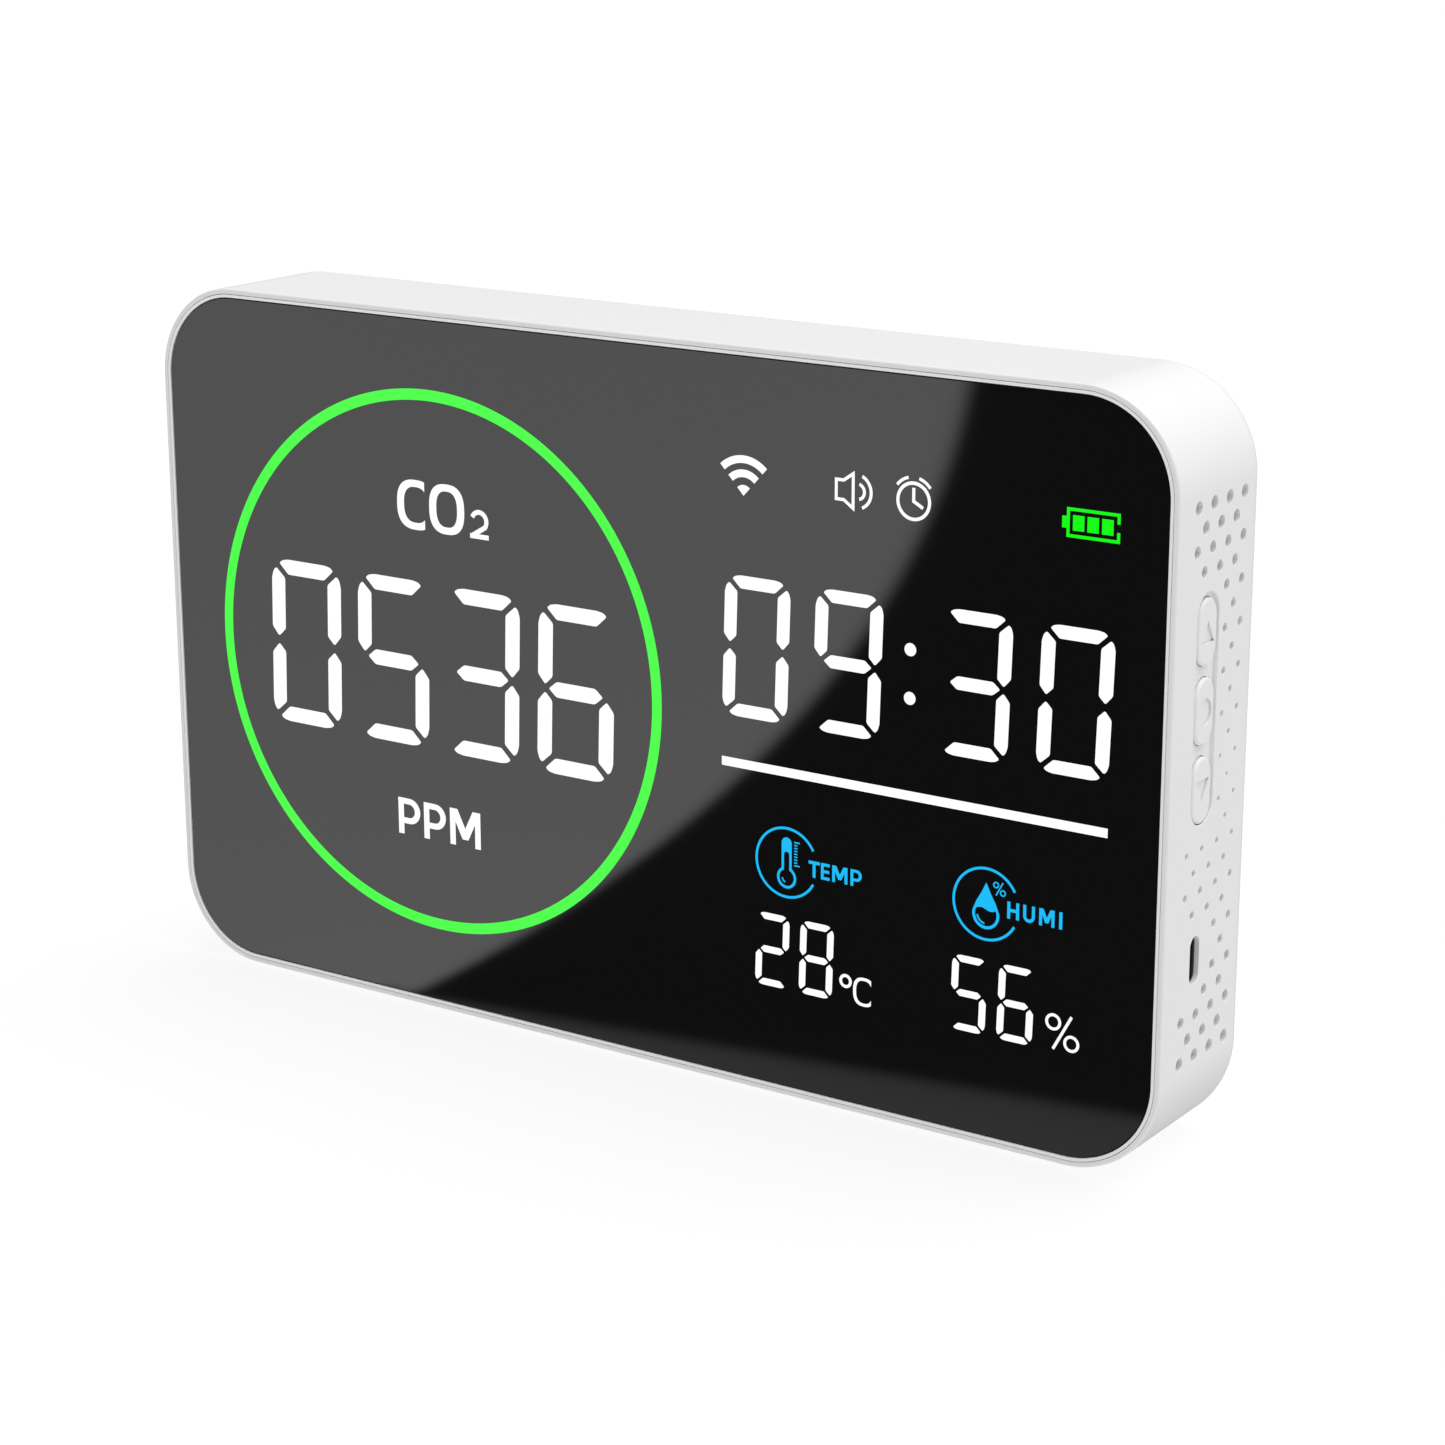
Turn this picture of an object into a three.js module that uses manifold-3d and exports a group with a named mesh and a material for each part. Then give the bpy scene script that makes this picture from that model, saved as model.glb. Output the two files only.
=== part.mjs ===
// Desktop carbon dioxide monitor: a shallow white plastic case with a dark glass front, three
// buttons, a charging port and a perforated vent in its right side.
//
// Millimetres. +X is to the right when facing the glass, +Y goes to the back, +Z is up.
// The origin is at the bottom centre of the case. Inside the file, shapes are drawn around the
// case's centre line, and one group lifts the finished model by half its height.

import * as THREE from 'three';
import { mergeVertices } from 'three/addons/utils/BufferGeometryUtils.js';
import Module from 'manifold-3d';

const wasm = await Module();
wasm.setup();

// ---------------------------------------------------------------- driving dimensions

const CASE = { width: 220, height: 136, depth: 32, cornerRadius: 18, wall: 2.4, backWall: 2.6 };
const FRONT = -CASE.depth / 2;
const BACK = CASE.depth / 2;
const RIGHT = CASE.width / 2;
const BACK_EDGE_RADIUS = 5;
const FRONT_EDGE_RADIUS = 0.5;
const FIT = 0.1;
const CLEARANCE = 0.3;

// The rim around the glass: the edge of the case, then the thin lip of the inner frame.
const RIM_BAND = 1.0;
const FRAME_LIP = 0.6;
const MOUTH_DEPTH = 5;
const FRAME_SHELF = 4.4;

const GLASS = { thickness: 2, inset: 0.2, tape: 0.3 };
const GLASS_BORDER = RIM_BAND + FIT + FRAME_LIP + FIT;
const GLASS_BACK = FRONT + GLASS.inset + GLASS.thickness;
const SHELF_FRONT = GLASS_BACK + GLASS.tape;
const FRAME_BACK = FRONT + MOUTH_DEPTH - CLEARANCE;

// Display stack behind the glass.
const FILM_THICKNESS = 0.2;
const MASK = { front: SHELF_FRONT + 0.6, thickness: 4.6 };
const BOARD = { front: MASK.front + MASK.thickness + CLEARANCE, thickness: 1.6, margin: 3.6 };
const BOARD_BACK = BOARD.front + BOARD.thickness;
const INNER_BACK = BACK - CASE.backWall;
const INNER_RIGHT = RIGHT - CASE.wall;

// What the display shows, in X and Z from the centre of the glass.
const RING = { x: -44.4, z: 0.8, innerRadius: 50.4, outerRadius: 52.5 };
const READING = { x: [-75.9, -54.4, -32.9, -11.4], z: 0.5, width: 17, height: 32.2, stroke: 3 };
const CLOCK = { x: [28.4, 47.4, 72.8, 91.9], z: 14.6, width: 14.2, height: 25.6, stroke: 2.6 };
const COLON = { x: 60, z: [10.4, 18.9], radius: 1.2 };
const SMALL_READINGS = { x: [32, 41.4, 72.7, 81.8], z: -40.8, width: 7.5, height: 13.8, stroke: 1.4 };
const DIVIDER = { x: 60, z: -7, length: 77.4, thickness: 1.6 };
const ICON_WINDOWS = [
  { x: 26, z: 45.2, width: 10, height: 8 },
  { x: 53.9, z: 45.2, width: 20, height: 8 },
  { x: 94, z: 44.8, width: 11.4, height: 5.6 },
  { x: -41.5, z: 31.2, width: 23, height: 10.4 },
  { x: -44, z: -30.2, width: 21.6, height: 8.4 },
  { x: 39.6, z: -23.6, width: 24, height: 14 },
  { x: 80.2, z: -23.6, width: 23, height: 14 },
];
const ICON_FILTER = { x: 60, z: -23.6, width: 66, height: 15 };

// Right side: vent, buttons and charging port.
const VENT = { rowsEachWay: 13, rowPitch: 3.7, columnPitch: 5.6, y: FRONT + 15.45, z: 0.2 };
const VENT_HOLE = { smallest: 0.8, growthPerRow: 0.125 };
const VENT_MESH = { width: 20, height: 104, thickness: 0.3 };
const BUTTON = { length: 11.6, width: 6.5, y: FRONT + 12.05, z: 13, pitch: 13.65 };
const BUTTON_EDGE = 0.7;
const BUTTON_BELOW_SIDE = 0.05;
const BUTTON_TRAVEL = 0.5;
const BUTTON_GAP = 0.2;
const BUTTON_MARK = { radius: 2.2, halfHeight: 1.9, depth: 0.5 };
const BUTTON_FLANGE = { length: 12.9, width: 7.6, thickness: 0.9 };
const RECESS = { length: 40.4, width: 8.6, depth: 0.8, y: FRONT + 11.75, z: 13.5 };
const PORT = { length: 8.8, width: 3.7, y: FRONT + 11.4, z: -30.4, wall: 0.95, keepOut: 5.3 };
const RECEPTACLE = { length: 7.3, width: 8.94, thickness: 3.2, shell: 0.3, clearance: 0.45 };
const TONGUE = { width: 6.6, thickness: 0.7, setback: 0.9 };

// Side-operated push switches, soldered to the back of the board behind the buttons.
const SWITCH = {
  width: 6,
  height: 3.9,
  depth: 3.5,
  face: 104.2,
  plungerTop: 104.9,
  plungerReach: 1.6,
  plungerRadius: 1.05,
};

// Back: wall-hanging keyholes and air slots.
const KEYHOLE = { x: 45, z: 36, headRadius: 4.3, slotWidth: 4.6, slotLength: 8 };
const AIR_SLOT = { count: 7, pitch: 5, length: 22, width: 2.2, x: 82, z: 36 };

// Screws that close the case, one in each corner.
const CASE_SCREW = { x: 98.5, z: 56.5, headSeat: 4, length: 12, shankRadius: 1.3, headRadius: 2.7 };
const BOSS_RADIUS = 4.4;
const POST_RADIUS = 4.2;
const POST_END = -2;
const BOARD_SCREW = { x: 50, z: 62.6, length: 6, shankRadius: 0.9, headRadius: 2 };
const BOARD_BOSS_RADIUS = 2.2;

const BATTERY = { radius: 9.2, length: 65, x: -62, y: INNER_BACK - 0.4 - 9.2, z: -44 };
const BATTERY_RIB = { thickness: 3, width: 25, offsets: [-22, 22] };

// Parts on the back of the board. x and z are the middle of each, from the centre of the case.
const ON_BOARD = BOARD_BACK + 0.1;
const SENSOR_BOARD = { x: 82, z: 36, width: 32, height: 20, thickness: 1.2, lift: 3.1 };
const SENSOR_HEADER = { x: 69, width: 2.5, height: 14, tall: 3 };
const GAS_CELL = { x: 83, width: 28, height: 15, tall: 8, edge: 0.6 };
const GAS_CELL_WINDOW = { size: 9, depth: 0.8, shift: 6.5, filter: 8.4, filterThickness: 0.4 };
const HUMIDITY_SENSOR = { x: 100, z: -44, width: 5, height: 5, tall: 1.4 };
const WIFI_BOARD = { x: -84, z: 44, width: 16, height: 24, tall: 0.8 };
const WIFI_SHIELD = { x: -84, z: 42, width: 14, height: 12, tall: 2.2 };
const PROCESSOR = { x: 0, z: 6, width: 12, height: 12, tall: 1.4 };
const DISPLAY_DRIVERS = [-40, 60].map((x) => ({ x, z: 6, width: 10, height: 7, tall: 1.2 }));
const BUZZER = { x: 30, z: -48, radius: 6, tall: 7.5, edge: 0.5, holeRadius: 1, holeDepth: 2 };
const SOCKET = { x: -12, z: -30, width: 8, height: 6, tall: 4 };
const PLUG = { x: -12, z: -30, width: 7, height: 5, tall: 3.9 };
const PLUG_LIFT = SOCKET.tall + 0.1;
const LEAD_RADIUS = 1.1;

// ---------------------------------------------------------------- geometry helpers

const X_AXIS = new THREE.Vector3(1, 0, 0);
const Y_AXIS = new THREE.Vector3(0, 1, 0);
const Z_AXIS = new THREE.Vector3(0, 0, 1);

// Outlines are drawn in X and Z for pieces seen from the front, or in Y and Z for pieces seen
// from the right.
const FROM_FRONT = new THREE.Matrix4().makeBasis(X_AXIS, Z_AXIS, Y_AXIS.clone().negate());
const FROM_RIGHT = new THREE.Matrix4().makeBasis(Y_AXIS, Z_AXIS, X_AXIS);

function roundedRect(width, height, radius, x = 0, z = 0) {
  const shape = new THREE.Shape();
  const right = x + width / 2 - radius;
  const left = x - width / 2 + radius;
  const top = z + height / 2 - radius;
  const bottom = z - height / 2 + radius;
  shape.absarc(right, top, radius, 0, Math.PI / 2);
  shape.absarc(left, top, radius, Math.PI / 2, Math.PI);
  shape.absarc(left, bottom, radius, Math.PI, Math.PI * 1.5);
  shape.absarc(right, bottom, radius, Math.PI * 1.5, Math.PI * 2);
  return shape;
}

// The outline of the case, moved in by a margin all round.
function caseOutline(margin) {
  return roundedRect(
    CASE.width - 2 * margin,
    CASE.height - 2 * margin,
    CASE.cornerRadius - margin,
  );
}

// A slot with round ends whose long way is up and down.
function pill(length, width, x = 0, z = 0) {
  const shape = new THREE.Shape();
  const straight = (length - width) / 2;
  shape.absarc(x, z + straight, width / 2, 0, Math.PI);
  shape.absarc(x, z - straight, width / 2, Math.PI, Math.PI * 2);
  return shape;
}

function circle(radius, x = 0, z = 0) {
  const shape = new THREE.Shape();
  shape.absarc(x, z, radius, 0, Math.PI * 2);
  return shape;
}

function rectangle(width, height, x = 0, z = 0) {
  return polygon([
    [x - width / 2, z - height / 2],
    [x + width / 2, z - height / 2],
    [x + width / 2, z + height / 2],
    [x - width / 2, z + height / 2],
  ]);
}

function polygon(points) {
  return new THREE.Shape(points.map(([x, z]) => new THREE.Vector2(x, z)));
}

function withHoles(shape, holes) {
  shape.holes.push(...holes);
  return shape;
}

// An outline in X and Z, given thickness from yFront to yBack.
function frontPlate(shape, yFront, yBack, curveSegments = 5) {
  const depth = yBack - yFront;
  const geometry = new THREE.ExtrudeGeometry(shape, { depth, bevelEnabled: false, curveSegments });
  return geometry.applyMatrix4(FROM_FRONT).translate(0, yBack, 0);
}

// An outline in Y and Z, given thickness from xInner to xOuter.
function sidePlate(shape, xInner, xOuter, curveSegments = 5) {
  const depth = xOuter - xInner;
  const geometry = new THREE.ExtrudeGeometry(shape, { depth, bevelEnabled: false, curveSegments });
  return geometry.applyMatrix4(FROM_RIGHT).translate(xInner, 0, 0);
}

// A plate seen from the front with both its edges rounded.
function roundedPlate(shape, yFront, yBack, radius, steps) {
  const geometry = new THREE.ExtrudeGeometry(shape, {
    depth: yBack - yFront - 2 * radius,
    bevelThickness: radius,
    bevelSize: radius,
    bevelOffset: -radius,
    bevelSegments: steps,
    curveSegments: 5,
  });
  return geometry.applyMatrix4(FROM_FRONT).translate(0, yBack - radius, 0);
}

// A block given by its lowest and highest corners.
function block([xLow, yLow, zLow], [xHigh, yHigh, zHigh]) {
  const geometry = new THREE.BoxGeometry(xHigh - xLow, yHigh - yLow, zHigh - zLow);
  return geometry.translate((xLow + xHigh) / 2, (yLow + yHigh) / 2, (zLow + zHigh) / 2);
}

// A block given by its middle in X and Z, its size there, and where it starts and ends in Y.
function slab(x, z, width, height, yFront, yBack) {
  return block([x - width / 2, yFront, z - height / 2], [x + width / 2, yBack, z + height / 2]);
}

// A part on the back of the board, standing off it by a lift.
function component({ x, z, width, height, tall }, lift = 0) {
  return slab(x, z, width, height, ON_BOARD + lift, ON_BOARD + lift + tall);
}

// A round bar along Y.
function rod(radius, yFront, yBack, x = 0, z = 0, sides = 20) {
  const geometry = new THREE.CylinderGeometry(radius, radius, yBack - yFront, sides);
  return geometry.translate(x, (yFront + yBack) / 2, z);
}

// A piece turned about the Y axis from [radius, y] points that start and end on the axis.
function turned(profile, sides = 20) {
  return new THREE.LatheGeometry(profile.map(([r, y]) => new THREE.Vector2(r, y)), sides);
}

function toSolid(geometry) {
  const bare = geometry.clone();
  bare.deleteAttribute('normal');
  bare.deleteAttribute('uv');
  const merged = mergeVertices(bare, 1e-4);
  const vertProperties = merged.attributes.position.array;
  const triVerts = new Uint32Array(merged.index.array);
  return new wasm.Manifold(new wasm.Mesh({ numProp: 3, vertProperties, triVerts }));
}

function toGeometry(solid) {
  const mesh = solid.getMesh();
  const geometry = new THREE.BufferGeometry();
  geometry.setAttribute('position', new THREE.BufferAttribute(mesh.vertProperties, 3));
  geometry.setIndex(new THREE.BufferAttribute(mesh.triVerts, 1));
  geometry.computeVertexNormals();
  return geometry;
}

function join(geometries) {
  return geometries.map(toSolid).reduce((whole, piece) => whole.add(piece));
}

function addTo(solid, geometries) {
  return geometries.map(toSolid).reduce((whole, piece) => whole.add(piece), solid);
}

function cut(solid, tools) {
  return tools.map(toSolid).reduce((rest, tool) => rest.subtract(tool), solid);
}

function withBothSigns(make) {
  return [-1, 1].map(make);
}

function atCorners(x, z, make) {
  return withBothSigns((sideX) => withBothSigns((sideZ) => make(sideX * x, sideZ * z))).flat();
}

// ---------------------------------------------------------------- case and frame

// The outside of the case: a small round at the front edge and a large one at the back.
function caseBlock() {
  const overlap = BACK_EDGE_RADIUS;
  const front = roundedPlate(caseOutline(0), FRONT, overlap, FRONT_EDGE_RADIUS, 2);
  const back = roundedPlate(caseOutline(0), -overlap, BACK, BACK_EDGE_RADIUS, 5);
  return join([front, back]);
}

function buttonHeights() {
  return [1, 0, -1].map((step) => BUTTON.z + step * BUTTON.pitch);
}

// Holes grow away from the middle row, and leave room for the buttons and the port.
function ventHoles() {
  const holes = [];
  for (let row = -VENT.rowsEachWay; row <= VENT.rowsEachWay; row += 1) {
    const z = VENT.z + row * VENT.rowPitch;
    const columns = row % 2 === 0 ? [-1, 0, 1] : [-1.5, -0.5, 0.5, 1.5];
    for (const column of columns) {
      const y = VENT.y + column * VENT.columnPitch;
      const radius = (VENT_HOLE.smallest + VENT_HOLE.growthPerRow * Math.abs(row)) / 2;
      if (!isBesideButtons(y, z) && !isAroundPort(y, z)) holes.push({ y, z, radius });
    }
  }
  return holes;
}

function isBesideButtons(y, z) {
  const margin = 1.3;
  const withinHeight = Math.abs(z - RECESS.z) < RECESS.length / 2 + margin;
  return withinHeight && y < RECESS.y + RECESS.width / 2 + margin;
}

function isAroundPort(y, z) {
  const straight = (PORT.length - PORT.width) / 2;
  const pastStraight = Math.max(Math.abs(z - PORT.z) - straight, 0);
  return Math.hypot(y - PORT.y, pastStraight) < PORT.keepOut;
}

function rightSideCuts() {
  const outside = RIGHT + 1;
  const inside = INNER_RIGHT - 1;
  const slot = pill(PORT.length, PORT.width, PORT.y, PORT.z);
  const pocketLength = RECEPTACLE.width + 2 * RECEPTACLE.clearance;
  const pocketWidth = RECEPTACLE.thickness + 2 * RECEPTACLE.clearance;
  const pocket = pill(pocketLength, pocketWidth, PORT.y, PORT.z);
  const recess = pill(RECESS.length, RECESS.width, RECESS.y, RECESS.z);
  const openingLength = BUTTON.length + 2 * BUTTON_GAP;
  const openingWidth = BUTTON.width + 2 * BUTTON_GAP;
  const openings = buttonHeights().map((z) => {
    return sidePlate(pill(openingLength, openingWidth, BUTTON.y, z), inside, outside);
  });
  const vents = ventHoles().map(({ y, z, radius }) => {
    return sidePlate(circle(radius, y, z), inside, outside);
  });
  return [
    sidePlate(slot, inside, outside),
    sidePlate(pocket, inside, RIGHT - PORT.wall),
    sidePlate(recess, RIGHT - RECESS.depth, outside),
    ...openings,
    ...vents,
  ];
}

function keyholeCuts(x) {
  const slotMiddle = KEYHOLE.z + KEYHOLE.slotLength / 2;
  const slot = pill(KEYHOLE.slotLength + KEYHOLE.slotWidth, KEYHOLE.slotWidth, x, slotMiddle);
  const head = circle(KEYHOLE.headRadius, x, KEYHOLE.z);
  return [slot, head].map((shape) => frontPlate(shape, INNER_BACK - 1, BACK + 1));
}

function airSlotCuts() {
  return Array.from({ length: AIR_SLOT.count }, (_, index) => {
    const z = AIR_SLOT.z - index * AIR_SLOT.pitch + AIR_SLOT.pitch * (AIR_SLOT.count - 1) / 2;
    const cornerRadius = AIR_SLOT.width / 2 - 0.1;
    const slot = roundedRect(AIR_SLOT.length, AIR_SLOT.width, cornerRadius, AIR_SLOT.x, z);
    return frontPlate(slot, INNER_BACK - 1, BACK + 1, 2);
  });
}

function batteryRibs() {
  const { thickness, width, offsets } = BATTERY_RIB;
  return offsets.map((offset) => {
    return slab(BATTERY.x + offset, BATTERY.z, thickness, width, BATTERY.y, INNER_BACK + 1);
  });
}

function rearShell() {
  const cavity = frontPlate(caseOutline(CASE.wall), FRONT - 1, INNER_BACK);
  const mouth = frontPlate(caseOutline(RIM_BAND), FRONT - 1, FRONT + MOUTH_DEPTH);
  const tub = cut(caseBlock(), [cavity, mouth]);
  const bossFront = POST_END + CLEARANCE;
  const bosses = atCorners(CASE_SCREW.x, CASE_SCREW.z, (x, z) => {
    return rod(BOSS_RADIUS, bossFront, INNER_BACK + 1, x, z);
  });
  const filled = addTo(tub, [...bosses, ...batteryRibs()]);
  const counterbores = atCorners(CASE_SCREW.x, CASE_SCREW.z, (x, z) => {
    return rod(CASE_SCREW.headRadius + 0.5, CASE_SCREW.headSeat, BACK + 1, x, z);
  });
  const screwHoles = atCorners(CASE_SCREW.x, CASE_SCREW.z, (x, z) => {
    return rod(CASE_SCREW.shankRadius + 0.3, bossFront - 1, CASE_SCREW.headSeat + 1, x, z, 12);
  });
  const cradle = batteryBar(BATTERY.radius + CLEARANCE, BATTERY.length);
  return cut(filled, [
    ...counterbores,
    ...screwHoles,
    cradle,
    ...rightSideCuts(),
    ...withBothSigns((side) => keyholeCuts(side * KEYHOLE.x)).flat(),
    ...airSlotCuts(),
  ]);
}

function frontFrame() {
  const outer = RIM_BAND + FIT;
  const ring = frontPlate(caseOutline(outer), FRONT, FRAME_BACK);
  const seat = frontPlate(caseOutline(outer + FRAME_LIP), FRONT - 1, SHELF_FRONT);
  const window = frontPlate(caseOutline(outer + FRAME_SHELF), FRONT - 1, FRAME_BACK + 1);
  const frame = cut(toSolid(ring), [seat, window]);
  const posts = atCorners(CASE_SCREW.x, CASE_SCREW.z, (x, z) => {
    return rod(POST_RADIUS, SHELF_FRONT + 1, POST_END, x, z);
  });
  const boardBosses = atCorners(BOARD_SCREW.x, BOARD_SCREW.z, (x, z) => {
    return rod(BOARD_BOSS_RADIUS, SHELF_FRONT + 1, BOARD.front - CLEARANCE, x, z, 12);
  });
  const filled = addTo(frame, [...posts, ...boardBosses]);
  const postHoles = atCorners(CASE_SCREW.x, CASE_SCREW.z, (x, z) => {
    return rod(CASE_SCREW.shankRadius + 0.2, POST_END - 8, POST_END + 1, x, z, 12);
  });
  const boardHoles = atCorners(BOARD_SCREW.x, BOARD_SCREW.z, (x, z) => {
    const depth = BOARD_BACK - BOARD_SCREW.length - 1;
    return rod(BOARD_SCREW.shankRadius + 0.2, depth, BOARD.front, x, z, 10);
  });
  return cut(filled, [...postHoles, ...boardHoles]);
}

// ---------------------------------------------------------------- display stack

function frontGlass() {
  const edge = 0.15;
  return roundedPlate(caseOutline(GLASS_BORDER), FRONT + GLASS.inset, GLASS_BACK, edge, 1);
}

function glassTape() {
  const inner = caseOutline(RIM_BAND + FRAME_SHELF);
  const outline = withHoles(caseOutline(GLASS_BORDER + CLEARANCE), [inner]);
  return frontPlate(outline, GLASS_BACK + 0.05, SHELF_FRONT - 0.05);
}

// The room for the display inside the frame's window, clear of the four corner posts.
function displayBlock(yFront, yBack) {
  const outline = caseOutline(RIM_BAND + FIT + FRAME_SHELF + CLEARANCE);
  const room = atCorners(CASE_SCREW.x, CASE_SCREW.z, (x, z) => {
    return rod(POST_RADIUS + CLEARANCE, yFront - 1, yBack + 1, x, z);
  });
  const boardRoom = atCorners(BOARD_SCREW.x, BOARD_SCREW.z, (x, z) => {
    return rod(BOARD_BOSS_RADIUS + CLEARANCE, yFront - 1, yBack + 1, x, z, 12);
  });
  return cut(toSolid(frontPlate(outline, yFront, yBack)), [...room, ...boardRoom]);
}

// The seven windows of one digit: bars along the top, middle and bottom, and four uprights.
function digitWindows(x, z, width, height, stroke) {
  const gap = stroke * 0.2;
  const halfWidth = width / 2;
  const halfHeight = height / 2;
  const endBar = (side) => [
    [gap - halfWidth, side * halfHeight],
    [halfWidth - gap, side * halfHeight],
    [halfWidth - gap - stroke, side * (halfHeight - stroke)],
    [gap + stroke - halfWidth, side * (halfHeight - stroke)],
  ];
  const middleBar = [
    [gap / 2 + stroke / 2 - halfWidth, 0],
    [gap / 2 + stroke - halfWidth, stroke / 2],
    [halfWidth - stroke - gap / 2, stroke / 2],
    [halfWidth - stroke / 2 - gap / 2, 0],
    [halfWidth - stroke - gap / 2, -stroke / 2],
    [gap / 2 + stroke - halfWidth, -stroke / 2],
  ];
  const upright = (sideX, sideZ) => [
    [sideX * halfWidth, sideZ * (halfHeight - gap)],
    [sideX * (halfWidth - stroke), sideZ * (halfHeight - gap - stroke)],
    [sideX * (halfWidth - stroke), sideZ * (stroke + gap) / 2],
    [sideX * (halfWidth - stroke / 2), sideZ * gap / 2],
    [sideX * halfWidth, sideZ * (stroke + gap) / 2],
  ];
  const outlines = [endBar(1), endBar(-1), middleBar, ...atCorners(1, 1, upright)];
  return outlines.map((points) => polygon(points.map(([u, v]) => [x + u, z + v])));
}

function allDigitWindows() {
  return [READING, CLOCK, SMALL_READINGS].flatMap((group) => {
    return group.x.flatMap((x) => digitWindows(x, group.z, group.width, group.height, group.stroke));
  });
}

// Opaque block that keeps the light of each figure apart. The ring lies in a groove.
function lightMask() {
  const back = MASK.front + MASK.thickness;
  const windows = [
    ...allDigitWindows(),
    ...COLON.z.map((z) => circle(COLON.radius, COLON.x, z)),
    ...ICON_WINDOWS.map(({ x, z, width, height }) => rectangle(width, height, x, z)),
    rectangle(DIVIDER.length, DIVIDER.thickness, DIVIDER.x, DIVIDER.z),
  ];
  const cuts = windows.map((shape) => frontPlate(shape, MASK.front - 1, back + 1, 4));
  const groove = frontPlate(ringOutline(CLEARANCE), MASK.front - 1, MASK.front + 2.6, 24);
  return cut(displayBlock(MASK.front, back), [...cuts, groove]);
}

function ringOutline(margin) {
  const outer = circle(RING.outerRadius + margin, RING.x, RING.z);
  return withHoles(outer, [circle(RING.innerRadius - margin, RING.x, RING.z)]);
}

function ringLightGuide() {
  return frontPlate(ringOutline(0), MASK.front, MASK.front + 2.3, 24);
}

function diffuserFilm() {
  return displayBlock(MASK.front - 0.1 - FILM_THICKNESS, MASK.front - 0.1);
}

// Blue film in front of the temperature and humidity symbols.
function iconFilter() {
  const back = MASK.front - 0.15 - FILM_THICKNESS;
  const { width, height, x, z } = ICON_FILTER;
  return frontPlate(roundedRect(width, height, 1, x, z), back - FILM_THICKNESS, back, 1);
}

// The right edge has a notch where the buttons' flanges move inwards.
function mainBoard() {
  const plate = toSolid(frontPlate(caseOutline(BOARD.margin), BOARD.front, BOARD_BACK));
  const flangeInner = INNER_RIGHT - BUTTON_GAP - BUTTON_FLANGE.thickness;
  const notchLow = RECESS.z - RECESS.length / 2 - 1;
  const notchHigh = RECESS.z + RECESS.length / 2 + 1;
  const notch = block(
    [flangeInner - BUTTON_TRAVEL - 2 * CLEARANCE, BOARD.front - 1, notchLow],
    [RIGHT, BOARD_BACK + 1, notchHigh],
  );
  const postRoom = atCorners(CASE_SCREW.x, CASE_SCREW.z, (x, z) => {
    return rod(BOSS_RADIUS + 1, BOARD.front - 1, BOARD_BACK + 1, x, z);
  });
  const screwHoles = atCorners(BOARD_SCREW.x, BOARD_SCREW.z, (x, z) => {
    return rod(BOARD_SCREW.shankRadius + 0.3, BOARD.front - 1, BOARD_BACK + 1, x, z, 12);
  });
  return cut(plate, [notch, ...postRoom, ...screwHoles]);
}

// ---------------------------------------------------------------- buttons and switches

// Outline of the mark sunk into a button: a triangle pointing up or down, or a circle.
function buttonMark(z, direction) {
  if (direction === 0) return circle(BUTTON_MARK.radius, BUTTON.y, z);
  const rise = direction * BUTTON_MARK.halfHeight;
  return polygon([
    [BUTTON.y - direction * BUTTON_MARK.radius, z - rise],
    [BUTTON.y + direction * BUTTON_MARK.radius, z - rise],
    [BUTTON.y, z + rise],
  ]);
}

// A button: its cap, the flange that keeps it in the case and the stem that reaches its switch.
function button(z, direction) {
  const top = RIGHT - BUTTON_BELOW_SIDE;
  const flangeOuter = INNER_RIGHT - BUTTON_GAP;
  const flangeInner = flangeOuter - BUTTON_FLANGE.thickness;
  const cap = new THREE.ExtrudeGeometry(pill(BUTTON.length, BUTTON.width, BUTTON.y, z), {
    depth: top - flangeInner - 2 * BUTTON_EDGE,
    bevelThickness: BUTTON_EDGE,
    bevelSize: BUTTON_EDGE,
    bevelOffset: -BUTTON_EDGE,
    bevelSegments: 3,
    curveSegments: 5,
  });
  cap.applyMatrix4(FROM_RIGHT).translate(flangeInner + BUTTON_EDGE, 0, 0);
  const flangeShape = pill(BUTTON_FLANGE.length, BUTTON_FLANGE.width, BUTTON.y, z);
  const flange = sidePlate(flangeShape, flangeInner, flangeOuter);
  const stemHalf = 1.4;
  const stem = block(
    [SWITCH.plungerTop + 0.2, BUTTON.y - stemHalf, z - stemHalf],
    [flangeInner + 0.5, BUTTON.y + stemHalf, z + stemHalf],
  );
  const mark = sidePlate(buttonMark(z, direction), top - BUTTON_MARK.depth, top + 1);
  return cut(join([cap, flange, stem]), [mark]);
}

function switchHousing(z) {
  const back = SWITCH.face - SWITCH.depth;
  const body = block(
    [back, BUTTON.y - SWITCH.height / 2, z - SWITCH.width / 2],
    [SWITCH.face, BUTTON.y + SWITCH.height / 2, z + SWITCH.width / 2],
  );
  const boreEnd = SWITCH.face - SWITCH.plungerReach - BUTTON_TRAVEL;
  const bore = sidePlate(circle(SWITCH.plungerRadius + 0.2, BUTTON.y, z), boreEnd, SWITCH.face + 1);
  return cut(toSolid(body), [bore]);
}

function switchPlunger(z) {
  const end = SWITCH.face - SWITCH.plungerReach + 0.4;
  return sidePlate(circle(SWITCH.plungerRadius, BUTTON.y, z), end, SWITCH.plungerTop);
}

// ---------------------------------------------------------------- charging port

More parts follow.
